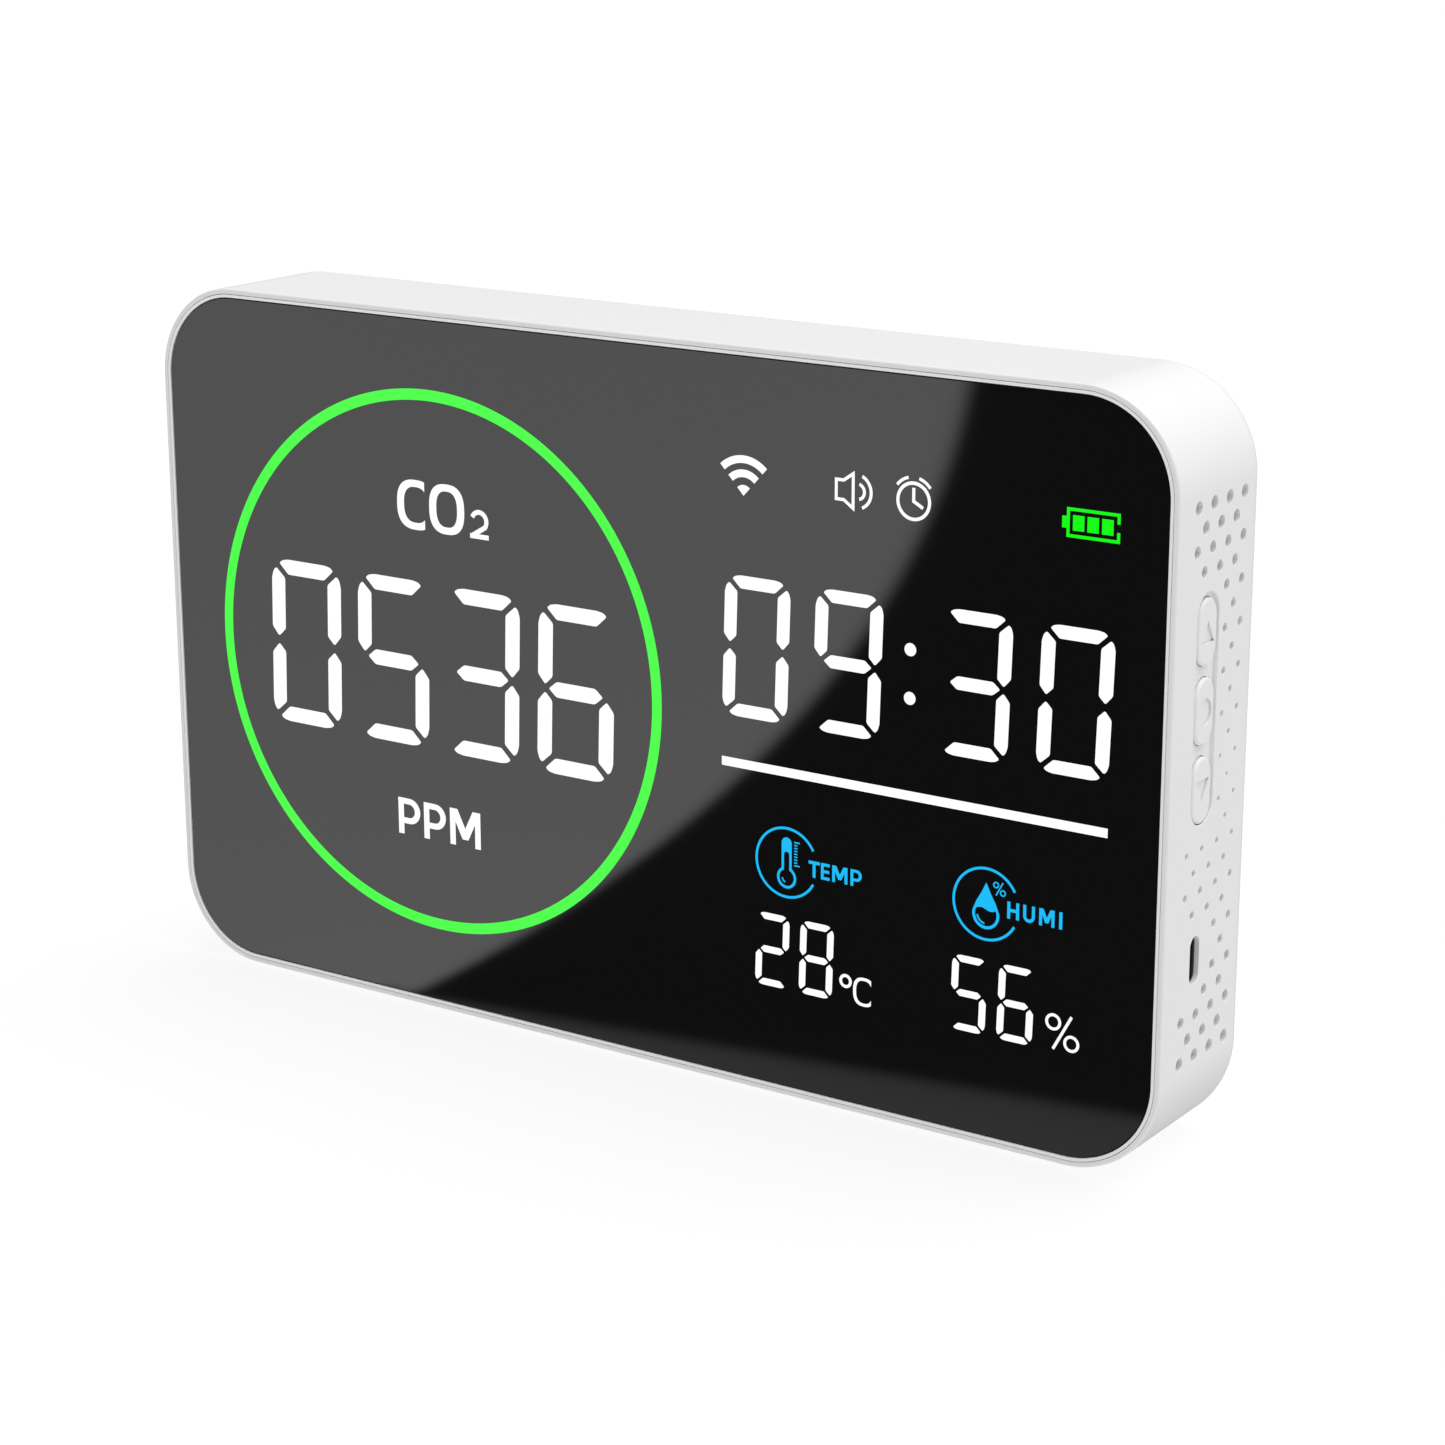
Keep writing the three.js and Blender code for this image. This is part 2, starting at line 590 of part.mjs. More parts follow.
function usbReceptacle() {
  const mouth = RIGHT - PORT.wall - CLEARANCE;
  const rear = mouth - RECEPTACLE.length;
  const outer = pill(RECEPTACLE.width, RECEPTACLE.thickness, PORT.y, PORT.z);
  const inner = pill(
    RECEPTACLE.width - 2 * RECEPTACLE.shell,
    RECEPTACLE.thickness - 2 * RECEPTACLE.shell,
    PORT.y,
    PORT.z,
  );
  const shell = cut(toSolid(sidePlate(outer, rear, mouth)), [sidePlate(inner, rear + 1, mouth + 1)]);
  const tongue = block(
    [rear, PORT.y - TONGUE.thickness / 2, PORT.z - TONGUE.width / 2],
    [mouth - TONGUE.setback, PORT.y + TONGUE.thickness / 2, PORT.z + TONGUE.width / 2],
  );
  return shell.add(toSolid(tongue));
}

// ---------------------------------------------------------------- parts on the board

function co2Header() {
  return component({ ...SENSOR_HEADER, z: SENSOR_BOARD.z });
}

function co2Board() {
  return component({ ...SENSOR_BOARD, tall: SENSOR_BOARD.thickness }, SENSOR_BOARD.lift);
}

const GAS_CELL_START = ON_BOARD + SENSOR_BOARD.lift + SENSOR_BOARD.thickness + 0.1;
const GAS_CELL_END = GAS_CELL_START + GAS_CELL.tall;

// Gas cell with two sunk breathing windows.
function co2Chamber() {
  const outline = roundedRect(GAS_CELL.width, GAS_CELL.height, 2, GAS_CELL.x, SENSOR_BOARD.z);
  const body = roundedPlate(outline, GAS_CELL_START, GAS_CELL_END, GAS_CELL.edge, 1);
  const { size, depth, shift } = GAS_CELL_WINDOW;
  const windows = withBothSigns((side) => {
    const window = roundedRect(size, size, 1, GAS_CELL.x + side * shift, SENSOR_BOARD.z);
    return frontPlate(window, GAS_CELL_END - depth, GAS_CELL_END + 1, 2);
  });
  return cut(toSolid(body), windows);
}

// Membrane lying in one of the gas cell's windows.
function co2Filter(side) {
  const { depth, shift, filter, filterThickness } = GAS_CELL_WINDOW;
  const start = GAS_CELL_END - depth + 0.1;
  const x = GAS_CELL.x + side * shift;
  return slab(x, SENSOR_BOARD.z, filter, filter, start, start + filterThickness);
}

function buzzer() {
  const { x, z, radius, tall, edge, holeRadius, holeDepth } = BUZZER;
  const body = turned([
    [0, 0],
    [radius, 0],
    [radius, tall - edge],
    [radius - edge, tall],
    [holeRadius, tall],
    [holeRadius, tall - holeDepth],
    [0, tall - holeDepth],
  ], 24);
  return body.translate(x, ON_BOARD, z);
}

// ---------------------------------------------------------------- battery

// The cell's outline turned about Y and then laid along X.
function batteryBar(radius, length, capRadius = radius, capLength = 0.5) {
  const bevel = 0.6;
  const bar = turned([
    [0, -length / 2],
    [radius - bevel, -length / 2],
    [radius, bevel - length / 2],
    [radius, length / 2 - bevel],
    [radius - bevel, length / 2],
    [capRadius - bevel, length / 2],
    [capRadius - bevel, length / 2 + capLength],
    [0, length / 2 + capLength],
  ], 28);
  return bar.rotateZ(-Math.PI / 2).translate(BATTERY.x, BATTERY.y, BATTERY.z);
}

// Sleeved pair of wires from the end of the cell to the plug.
function batteryLead() {
  const start = new THREE.Vector3(BATTERY.x + BATTERY.length / 2 + 1.4, BATTERY.y, BATTERY.z);
  const end = new THREE.Vector3(PLUG.x, ON_BOARD + PLUG_LIFT + PLUG.tall + CLEARANCE, PLUG.z);
  const route = new THREE.CatmullRomCurve3([
    start,
    start.clone().add(new THREE.Vector3(6, 0, 1)),
    end.clone().add(new THREE.Vector3(-1, 3.6, -6)),
    end.clone().add(new THREE.Vector3(0, 2.6, -0.6)),
    end,
  ]);
  const section = circle(LEAD_RADIUS);
  return new THREE.ExtrudeGeometry(section, { steps: 16, extrudePath: route, curveSegments: 4 });
}

// ---------------------------------------------------------------- screws and dust mesh

// Pan-head screw along Y whose head faces the back, with a cross recess.
function screw({ x, z, yHead, length, shankRadius, headRadius }) {
  const headHeight = headRadius * 0.7;
  const body = turned([
    [0, -length],
    [shankRadius * 0.5, -length],
    [shankRadius, 1 - length],
    [shankRadius, 0],
    [headRadius, 0],
    [headRadius, headHeight * 0.5],
    [headRadius * 0.6, headHeight],
    [0, headHeight],
  ], 12);
  const recess = [[headRadius * 1.1, 0.6], [0.6, headRadius * 1.1]].map(([width, height]) => {
    return slab(0, 0, width, height, headHeight * 0.5, headHeight + 1);
  });
  return toGeometry(cut(toSolid(body), recess)).translate(x, yHead, z);
}

function ventMesh() {
  const room = 0.8;
  const outline = rectangle(VENT_MESH.width, VENT_MESH.height, VENT.y, 0);
  const buttonWidth = BUTTON_FLANGE.width + 2 * room;
  const buttonRoom = rectangle(buttonWidth, RECESS.length + 2 * room, BUTTON.y, RECESS.z);
  const portWidth = RECEPTACLE.thickness + 2 * room;
  const portRoom = rectangle(portWidth, RECEPTACLE.width + 2 * room, PORT.y, PORT.z);
  const sheet = withHoles(outline, [buttonRoom, portRoom]);
  const outer = INNER_RIGHT - CLEARANCE;
  return sidePlate(sheet, outer - VENT_MESH.thickness, outer);
}

// ---------------------------------------------------------------- materials

function finish(color, roughness, metalness = 0) {
  return new THREE.MeshStandardMaterial({ color, roughness, metalness });
}

const FINISH = {
  caseWhite: finish(0xf2f2f2, 0.5),
  buttonWhite: finish(0xf4f4f4, 0.45),
  glassBlack: finish(0x0c0c0d, 0.05),
  tapeGrey: finish(0x3a3a3a, 0.9),
  filmWhite: finish(0xffffff, 0.6),
  filmBlue: finish(0x24b4f0, 0.4),
  guideGreen: finish(0x52ff50, 0.3),
  maskBlack: finish(0x161616, 0.8),
  boardGreen: finish(0x1d5c3a, 0.45),
  steel: finish(0xb9bbbd, 0.35, 1),
  gold: finish(0xc9a24a, 0.3, 1),
  chipBlack: finish(0x1b1b1c, 0.6),
  filterWhite: finish(0xe8e8e4, 0.95),
  cellBlue: finish(0x2c5fa8, 0.4),
  leadBlack: finish(0x222222, 0.7),
  plugWhite: finish(0xe6e2d6, 0.6),
  meshGrey: finish(0xc4c4c2, 0.95),
};

// ---------------------------------------------------------------- assembly

const group = new THREE.Group();
const monitor = new THREE.Group();
monitor.position.z = CASE.height / 2;
group.add(monitor);

function addPiece(name, shape, material) {
  const geometry = shape.isBufferGeometry ? shape : toGeometry(shape);
  const piece = new THREE.Mesh(geometry, material);
  piece.name = name;
  monitor.add(piece);
}

addPiece('rear_shell', rearShell(), FINISH.caseWhite);
addPiece('front_frame', frontFrame(), FINISH.caseWhite);
addPiece('front_glass', frontGlass(), FINISH.glassBlack);
addPiece('glass_tape', glassTape(), FINISH.tapeGrey);
addPiece('diffuser_film', diffuserFilm(), FINISH.filmWhite);
addPiece('icon_filter', iconFilter(), FINISH.filmBlue);
addPiece('light_mask', lightMask(), FINISH.maskBlack);
addPiece('ring_light_guide', ringLightGuide(), FINISH.guideGreen);
addPiece('main_board', mainBoard(), FINISH.boardGreen);

const BUTTON_NAMES = ['up', 'select', 'down'];
const MARK_DIRECTIONS = [1, 0, -1];
buttonHeights().forEach((z, index) => {
  const name = BUTTON_NAMES[index];
  addPiece(`${name}_button`, button(z, MARK_DIRECTIONS[index]), FINISH.buttonWhite);
  addPiece(`${name}_switch_housing`, switchHousing(z), FINISH.chipBlack);
  addPiece(`${name}_switch_plunger`, switchPlunger(z), FINISH.plugWhite);
});

addPiece('usb_receptacle', usbReceptacle(), FINISH.steel);
addPiece('vent_mesh', ventMesh(), FINISH.meshGrey);

addPiece('co2_header', co2Header(), FINISH.chipBlack);
addPiece('co2_sensor_board', co2Board(), FINISH.boardGreen);
addPiece('co2_gas_cell', co2Chamber(), FINISH.gold);
[-1, 1].forEach((side, index) => {
  addPiece(`co2_filter_${index + 1}`, co2Filter(side), FINISH.filterWhite);
});
addPiece('humidity_sensor', component(HUMIDITY_SENSOR), FINISH.filterWhite);
addPiece('wifi_board', component(WIFI_BOARD), FINISH.boardGreen);
addPiece('wifi_shield', component(WIFI_SHIELD, WIFI_BOARD.tall + 0.2), FINISH.steel);
addPiece('processor_chip', component(PROCESSOR), FINISH.chipBlack);
DISPLAY_DRIVERS.forEach((driver, index) => {
  addPiece(`display_driver_${index + 1}`, component(driver), FINISH.chipBlack);
});
addPiece('buzzer', buzzer(), FINISH.chipBlack);

addPiece('battery_cell', batteryBar(BATTERY.radius, BATTERY.length - 2, 3.6, 1), FINISH.cellBlue);
addPiece('battery_socket', component(SOCKET), FINISH.plugWhite);
addPiece('battery_plug', component(PLUG, PLUG_LIFT), FINISH.plugWhite);
addPiece('battery_lead', batteryLead(), FINISH.leadBlack);

atCorners(CASE_SCREW.x, CASE_SCREW.z, (x, z) => ({ ...CASE_SCREW, x, z })).forEach((place, index) => {
  const yHead = CASE_SCREW.headSeat + 0.1;
  addPiece(`case_screw_${index + 1}`, screw({ ...place, yHead }), FINISH.steel);
});
atCorners(BOARD_SCREW.x, BOARD_SCREW.z, (x, z) => ({ ...BOARD_SCREW, x, z })).forEach((place, index) => {
  const yHead = BOARD_BACK + 0.1;
  addPiece(`board_screw_${index + 1}`, screw({ ...place, yHead }), FINISH.steel);
});

export default group;
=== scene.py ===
"""Carbon dioxide monitor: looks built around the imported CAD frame.

Metres, in the CAD's own frame: +X to the right when facing the glass, +Y to the back, +Z up.
Outlines are lists of (across, up) points in millimetres from the middle of the glass or the side.
"""

import math

import bmesh
import bpy
from mathutils import Matrix, Vector


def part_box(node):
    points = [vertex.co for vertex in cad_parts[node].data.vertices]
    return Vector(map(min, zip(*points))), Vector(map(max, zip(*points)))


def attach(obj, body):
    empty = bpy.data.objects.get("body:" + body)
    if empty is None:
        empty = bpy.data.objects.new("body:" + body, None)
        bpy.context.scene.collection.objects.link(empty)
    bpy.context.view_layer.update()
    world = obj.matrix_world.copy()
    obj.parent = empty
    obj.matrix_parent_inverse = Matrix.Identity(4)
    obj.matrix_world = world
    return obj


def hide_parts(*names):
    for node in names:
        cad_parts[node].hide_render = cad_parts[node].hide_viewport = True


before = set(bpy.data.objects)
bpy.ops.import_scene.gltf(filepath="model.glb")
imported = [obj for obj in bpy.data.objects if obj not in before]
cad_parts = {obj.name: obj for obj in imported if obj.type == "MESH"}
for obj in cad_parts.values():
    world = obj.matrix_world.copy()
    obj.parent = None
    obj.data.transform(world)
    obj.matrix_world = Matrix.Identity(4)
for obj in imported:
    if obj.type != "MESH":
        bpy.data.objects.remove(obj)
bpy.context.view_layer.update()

MM = 0.001
CORNER_STEPS = 28
CIRCLE_STEPS = 28
WELD_DISTANCE = 1e-8
SHARPEST_SMOOTHED = 32


# -------- sizes taken from the frame

case_low, case_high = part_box("rear_shell")
MIDDLE = Vector((0, 0, (case_low.z + case_high.z) / 2))


def middle_of(node):
    """The middle of a node's box, in millimetres from the middle of the case."""
    low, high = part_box(node)
    return ((low + high) / 2 - MIDDLE) / MM


def size_of(node):
    low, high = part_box(node)
    return (high - low) / MM


CASE_WIDTH, CASE_DEPTH, CASE_HEIGHT = size_of("rear_shell")
FRONT = -CASE_DEPTH / 2
BACK = CASE_DEPTH / 2
RIGHT = CASE_WIDTH / 2

# The gap between pieces that fit into each other.
FIT = 0.1

# How far a cutter reaches past the surface it cuts.
OVERSHOOT = 1

CORNER_RADIUS = 18
FRONT_ROUND = 0.5
BACK_ROUND = 5
WALL = 2.4
BACK_WALL = 2.6
RIM_BAND = 1.0
MOUTH_DEPTH = 5

# The glass, and the frame whose thin lip shows around it.
GLASS_FRONT = middle_of("front_glass").y - size_of("front_glass").y / 2
GLASS_BACK = GLASS_FRONT + size_of("front_glass").y
GLASS_MIDDLE = MIDDLE + Vector((0, GLASS_FRONT * MM, 0))
GLASS_MARGIN = (CASE_WIDTH - size_of("front_glass").x) / 2
FRAME_MARGIN = (CASE_WIDTH - size_of("front_frame").x) / 2
FRAME_LIP = GLASS_MARGIN - FRAME_MARGIN - FIT
FRAME_SHELF = 4.4
FRAME_CLEARANCE = 0.3
FRAME_BACK = FRONT + MOUTH_DEPTH - FRAME_CLEARANCE
TAPE_THICKNESS = 0.3

# Right side, measured from the middle of the case.
VENT_ROWS_EACH_WAY = 13
VENT_ROW_PITCH = 3.7
VENT_COLUMN_PITCH = 5.6
VENT_Y = middle_of("vent_mesh").y
VENT_Z = 0.2
VENT_SMALLEST = 0.8
VENT_GROWTH = 0.125

# The buttons, with 1 for a mark that points up, -1 for one that points down and 0 for a disc.
MARK_DIRECTIONS = {"up_button": 1, "select_button": 0, "down_button": -1}
BUTTON_Y = middle_of("select_button").y
BUTTON_LENGTH = 11.6
BUTTON_WIDTH = 6.5
BUTTON_GAP = 0.13
FLANGE_LENGTH = size_of("select_button").z
FLANGE_WIDTH = size_of("select_button").y
FLANGE_THICKNESS = 0.9
MARK_RADIUS = 2.35
MARK_HALF_HEIGHT = 1.9
MARK_DEPTH = 0.4
RECESS_LENGTH = 40.4
RECESS_WIDTH = 8.3
RECESS_DEPTH = 0.8
RECESS_Y = BUTTON_Y - 0.15
RECESS_Z = 13.5

# The charging slot and the socket behind it.
PORT_LENGTH = 8.8
PORT_WIDTH = 3.7
PORT_Y = middle_of("usb_receptacle").y
PORT_Z = middle_of("usb_receptacle").z
PORT_WALL = 0.95
PORT_POCKET_GAP = 0.45
PORT_KEEP_OUT = 5.3
TONGUE_THICKNESS = 0.7
TONGUE_WIDTH = 6.6
TONGUE_SETBACK = 0.9
CONTACT_SETBACK = 1.6
CONTACT_COUNT = 8
CONTACT_PITCH = 0.72
CONTACT_WIDTH = 0.4
CONTACT_THICKNESS = 0.06

# Back.
KEYHOLE_X = 45
KEYHOLE_Z = 36
KEYHOLE_HEAD = 4.3
KEYHOLE_SLOT = 2.3
KEYHOLE_RISE = 8
AIR_SLOT_COUNT = 7
AIR_SLOT_PITCH = 5
AIR_SLOT_LENGTH = 22
AIR_SLOT_WIDTH = 2.2
AIR_SLOT_X = 82
AIR_SLOT_Z = 36
SCREW_X = abs(middle_of("case_screw_1").x)
SCREW_Z = abs(middle_of("case_screw_1").z)
SCREW_SEAT = 4
SCREW_BORE = 1.6
BOSS_RADIUS = 4.4
BOSS_FRONT = -1.7
COUNTERBORE = 3.2


# -------- outlines

def arc(x, z, radius, start, end, steps):
    """Points on an arc, angles in degrees."""
    turns = [math.radians(start + (end - start) * i / steps) for i in range(steps + 1)]
    return [(x + radius * math.cos(t), z + radius * math.sin(t)) for t in turns]


def circle(x, z, radius, steps=CIRCLE_STEPS):
    return arc(x, z, radius, 0, 360, steps)[:-1]


def rounded_rect(width, height, radius, x=0.0, z=0.0, steps=CORNER_STEPS):
    across, up = width / 2 - radius, height / 2 - radius
    corners = ((1, 1, 0), (-1, 1, 90), (-1, -1, 180), (1, -1, 270))
    points = []
    for side_x, side_z, start in corners:
        points += arc(x + side_x * across, z + side_z * up, radius, start, start + 90, steps)
    return points


def pill(length, width, x=0.0, z=0.0, steps=16):
    straight = (length - width) / 2
    top = arc(x, z + straight, width / 2, 0, 180, steps)
    bottom = arc(x, z - straight, width / 2, 180, 360, steps)
    return top + bottom


def case_outline(inset):
    return rounded_rect(CASE_WIDTH - 2 * inset, CASE_HEIGHT - 2 * inset, CORNER_RADIUS - inset)


# -------- mesh building

def from_front(point, y):
    return Vector((point[0] * MM, y * MM, point[1] * MM)) + MIDDLE


def from_right(point, x):
    return Vector((x * MM, point[0] * MM, point[1] * MM)) + MIDDLE


def loft(bm, rings, closed):
    """Joins rings of equally many points. Closed means that the last ring joins the first."""
    loops = [[bm.verts.new(point) for point in ring] for ring in rings]
    count = len(loops[0])
    pairs = list(zip(loops, loops[1:]))
    if closed:
        pairs.append((loops[-1], loops[0]))
    for first, second in pairs:
        for i in range(count):
            j = (i + 1) % count
            bm.faces.new((first[i], first[j], second[j], second[i]))
    if not closed:
        bm.faces.new(loops[0])
        bm.faces.new(loops[-1])


def link_mesh(bm, name):
    mesh = bpy.data.meshes.new(name)
    bm.to_mesh(mesh)
    bm.free()
    piece = bpy.data.objects.new(name, mesh)
    bpy.context.scene.collection.objects.link(piece)
    return piece


def finish_mesh(bm, name):
    bmesh.ops.remove_doubles(bm, verts=bm.verts, dist=WELD_DISTANCE)
    bmesh.ops.recalc_face_normals(bm, faces=bm.faces)
    return link_mesh(bm, name)


def lofted(name, section_lists, place_point=from_front, closed=False):
    """A piece from one or more lists of (outline, place) sections."""
    bm = bmesh.new()
    for sections in section_lists:
        rings = [[place_point(point, at) for point in outline] for outline, at in sections]
        loft(bm, rings, closed)
    return finish_mesh(bm, name)


def boolean(piece, tool, operation):
    modifier = piece.modifiers.new(operation.lower(), "BOOLEAN")
    modifier.operation = operation
    modifier.object = tool
    modifier.solver = "EXACT"
    apply_modifiers(piece)
    bpy.data.objects.remove(tool)


def apply_modifiers(piece):
    graph = bpy.context.evaluated_depsgraph_get()
    mesh = bpy.data.meshes.new_from_object(piece.evaluated_get(graph), depsgraph=graph)
    mesh.name = piece.name
    piece.modifiers.clear()
    piece.data = mesh


def smooth(piece):
    """Smooth shading that keeps edges sharper than the angle crisp and flat faces flat."""
    mesh = piece.data
    mesh.polygons.foreach_set("use_smooth", [True] * len(mesh.polygons))
    mesh.set_sharp_from_angle(angle=math.radians(SHARPEST_SMOOTHED))
    weighted = piece.modifiers.new("weighted_normals", "WEIGHTED_NORMAL")
    weighted.keep_sharp = True
    weighted.weight = 100
    return piece


def place(piece, body, material, replaces=()):
    piece.data.materials.clear()
    piece.data.materials.append(material)
    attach(piece, body)
    if replaces:
        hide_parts(*replaces)
    return piece


# -------- materials

BUMP_STRENGTH = 0.3
GRAIN_DEPTH = 0.00002
# How far the painted shade in narrow gaps and sunk marks reaches.
PAINTED_SHADE_REACH = 0.0006
DRAWN_LINES = (40, 900, 40)


def set_inputs(node, values):
    for name, value in values.items():
        node.inputs[name].default_value = value


def new_material(name, colour, roughness, metallic=0.0):
    """A material, its node tree and its shader."""
    material = bpy.data.materials.new(name)
    material.use_nodes = True
    tree = material.node_tree
    shader = tree.nodes["Principled BSDF"]
    set_inputs(shader, {
        "Base Color": (*colour, 1),
        "Roughness": roughness,
        "Metallic": metallic,
        "IOR": 1.5,
    })
    return material, tree, shader


def on_object(tree, kind):
    """A node whose pattern is fixed to the object, not to the view."""
    coordinates = tree.nodes.new("ShaderNodeTexCoord")
    pattern = tree.nodes.new(kind)
    tree.links.new(coordinates.outputs["Object"], pattern.inputs["Vector"])
    return pattern


def object_noise(tree, scale, detail):
    noise = on_object(tree, "ShaderNodeTexNoise")
    set_inputs(noise, {"Scale": scale, "Detail": detail})
    return noise.outputs["Fac"]


def ramp(tree, source, low, high):
    """Spreads a 0 to 1 value between two numbers."""
    spread = tree.nodes.new("ShaderNodeMapRange")
    set_inputs(spread, {"To Min": low, "To Max": high})
    tree.links.new(source, spread.inputs["Value"])
    return spread.outputs["Result"]


def colour_between(tree, source, first, second):
    mix = tree.nodes.new("ShaderNodeMix")
    mix.data_type = "RGBA"
    set_inputs(mix, {"A": (*first, 1), "B": (*second, 1)})
    tree.links.new(source, mix.inputs["Factor"])
    return mix.outputs["Result"]


def add_bump(tree, shader, height, distance):
    bump = tree.nodes.new("ShaderNodeBump")
    set_inputs(bump, {"Strength": BUMP_STRENGTH, "Distance": distance})
    tree.links.new(height, bump.inputs["Height"])
    tree.links.new(bump.outputs["Normal"], shader.inputs["Normal"])


def painted_crevice_shade(tree, tint, share):
    """Paints shade into a colour: takes a share off it where surfaces lie close together, as in the
    sunk marks.
    """
    nearby = tree.nodes.new("ShaderNodeAmbientOcclusion")
    nearby.inputs["Distance"].default_value = PAINTED_SHADE_REACH
    mix = tree.nodes.new("ShaderNodeMix")
    mix.data_type = "RGBA"
    mix.blend_type = "MULTIPLY"
    mix.inputs["Factor"].default_value = 1
    tree.links.new(tint, mix.inputs["A"])
    tree.links.new(ramp(tree, nearby.outputs["AO"], 1 - share, 1), mix.inputs["B"])
    return mix.outputs["Result"]


def moulded_plastic(name, colour, roughness, grain=2600, painted_shade=0.0):
    """Moulded plastic with a fine spark-eroded grain and a faint change of shade, and, when a share
    is given, painted shade where surfaces lie close together.
    """
    material, tree, shader = new_material(name, colour, roughness)
    darker = tuple(c * 0.975 for c in colour)
    tint = colour_between(tree, object_noise(tree, 18, 2), darker, colour)
    # Painted shade: the colour is darker where surfaces lie close together.
    if painted_shade:
        tint = painted_crevice_shade(tree, tint, painted_shade)
    tree.links.new(tint, shader.inputs["Base Color"])
    fine = object_noise(tree, grain, 2)
    polish = ramp(tree, fine, roughness - 0.05, roughness + 0.05)
    tree.links.new(polish, shader.inputs["Roughness"])
    add_bump(tree, shader, fine, GRAIN_DEPTH)
    return material


def dark_glass():
    """Polished smoked glass over a black print, with the faintest handling haze."""
    material, tree, shader = new_material("dark_glass", (0.0045, 0.0045, 0.0048), 0.03)
    polish = ramp(tree, object_noise(tree, 9, 4), 0.02, 0.045)
    tree.links.new(polish, shader.inputs["Roughness"])
    return material


def lit(name, colour):
    """A figure lit from behind. It glows evenly and mirrors nothing."""
    material, tree, shader = new_material(name, tuple(c * 0.05 for c in colour), 0.6)
    set_inputs(shader, {"Specular IOR Level": 0, "Emission Color": (*colour, 1)})
    evenness = ramp(tree, object_noise(tree, 60, 1), 0.97, 1.03)
    tree.links.new(evenness, shader.inputs["Emission Strength"])
    return material


def metal(name, colour, roughness):
    """Plated metal with fine drawn lines."""
    material, tree, shader = new_material(name, colour, roughness, metallic=1.0)
    stretch = on_object(tree, "ShaderNodeMapping")
    stretch.inputs["Scale"].default_value = DRAWN_LINES
    lines = tree.nodes.new("ShaderNodeTexNoise")
    set_inputs(lines, {"Scale": 8, "Detail": 3})
    tree.links.new(stretch.outputs["Vector"], lines.inputs["Vector"])
    polish = ramp(tree, lines.outputs["Fac"], roughness - 0.08, roughness + 0.12)
    tree.links.new(polish, shader.inputs["Roughness"])
    return material


def circuit_board(name, colour):
    """Solder mask with faint copper tracks showing through."""
    material, tree, shader = new_material(name, colour, 0.35)
    tracks = on_object(tree, "ShaderNodeTexBrick")
    set_inputs(tracks, {
        "Scale": 140,
        "Mortar Size": 0.06,
        "Color1": (*colour, 1),
        "Color2": (*[c * 0.8 for c in colour], 1),
        "Mortar": (*[min(1, c * 2.2) for c in colour], 1),
    })
    tree.links.new(tracks.outputs["Color"], shader.inputs["Base Color"])
    add_bump(tree, shader, tracks.outputs["Fac"], 0.00003)
    return material


def woven(name, colour, threads=2200):
    """A fine woven sheet: crossed sine waves for warp and weft."""
    material, tree, shader = new_material(name, colour, 0.9)
    weave = tree.nodes.new("ShaderNodeMath")
    weave.operation = "MULTIPLY"
    for index, direction in enumerate(("Y", "Z")):
        wave = on_object(tree, "ShaderNodeTexWave")
        wave.bands_direction = direction
        wave.inputs["Scale"].default_value = threads / 6
        tree.links.new(wave.outputs["Fac"], weave.inputs[index])
    shadow = tuple(c * 0.55 for c in colour)
    tint = colour_between(tree, weave.outputs["Value"], shadow, colour)
    tree.links.new(tint, shader.inputs["Base Color"])
    add_bump(tree, shader, weave.outputs["Value"], 0.00005)
    return material


WHITE_CASE = moulded_plastic("white_case", (0.87, 0.87, 0.87), 0.42)
WHITE_FRAME = moulded_plastic("white_frame", (0.95, 0.95, 0.95), 0.38)
# The buttons get painted shade in their sunk marks and in the gaps around them.
WHITE_BUTTON = moulded_plastic("white_button", (0.88, 0.88, 0.88), 0.4, 3200, painted_shade=0.3)
DARK_GLASS = dark_glass()
LIT_WHITE = lit("lit_white", (1.0, 1.0, 1.0))
LIT_GREEN = lit("lit_green", (0.084, 1.0, 0.08))
LIT_STATUS_GREEN = lit("lit_status_green", (0.01, 0.93, 0.01))
LIT_BLUE = lit("lit_blue", (0.014, 0.50, 0.93))
STEEL = metal("plated_steel", (0.55, 0.56, 0.57), 0.3)
GOLD = metal("gold_cell", (0.62, 0.42, 0.12), 0.28)
BOARD = circuit_board("board_green", (0.012, 0.10, 0.04))
CHIP = moulded_plastic("chip_black", (0.012, 0.012, 0.013), 0.55)
MASK = moulded_plastic("mask_black", (0.008, 0.008, 0.008), 0.75)
NYLON = moulded_plastic("natural_nylon", (0.74, 0.70, 0.60), 0.5)
TAPE = moulded_plastic("foam_tape", (0.03, 0.03, 0.03), 0.85, grain=900)
LEAD = moulded_plastic("lead_sleeve", (0.02, 0.02, 0.02), 0.6)
CELL = moulded_plastic("cell_wrap", (0.02, 0.10, 0.36), 0.3, grain=400)
DUST_MESH = woven("dust_mesh", (0.60, 0.60, 0.59))
MEMBRANE = woven("membrane", (0.80, 0.80, 0.78), threads=5000)


# -------- case

# The middle point of an edge rounded in two steps, as a share of its radius from each face.
BEVEL_MIDDLE = 0.3


def quarter(radius, steps):
    """(inset, advance) pairs round a quarter, from the flat face to the side."""
    turns = [math.radians(90 * i / steps) for i in range(steps + 1)]
    return [(radius * (1 - math.sin(t)), radius * (1 - math.cos(t))) for t in turns]


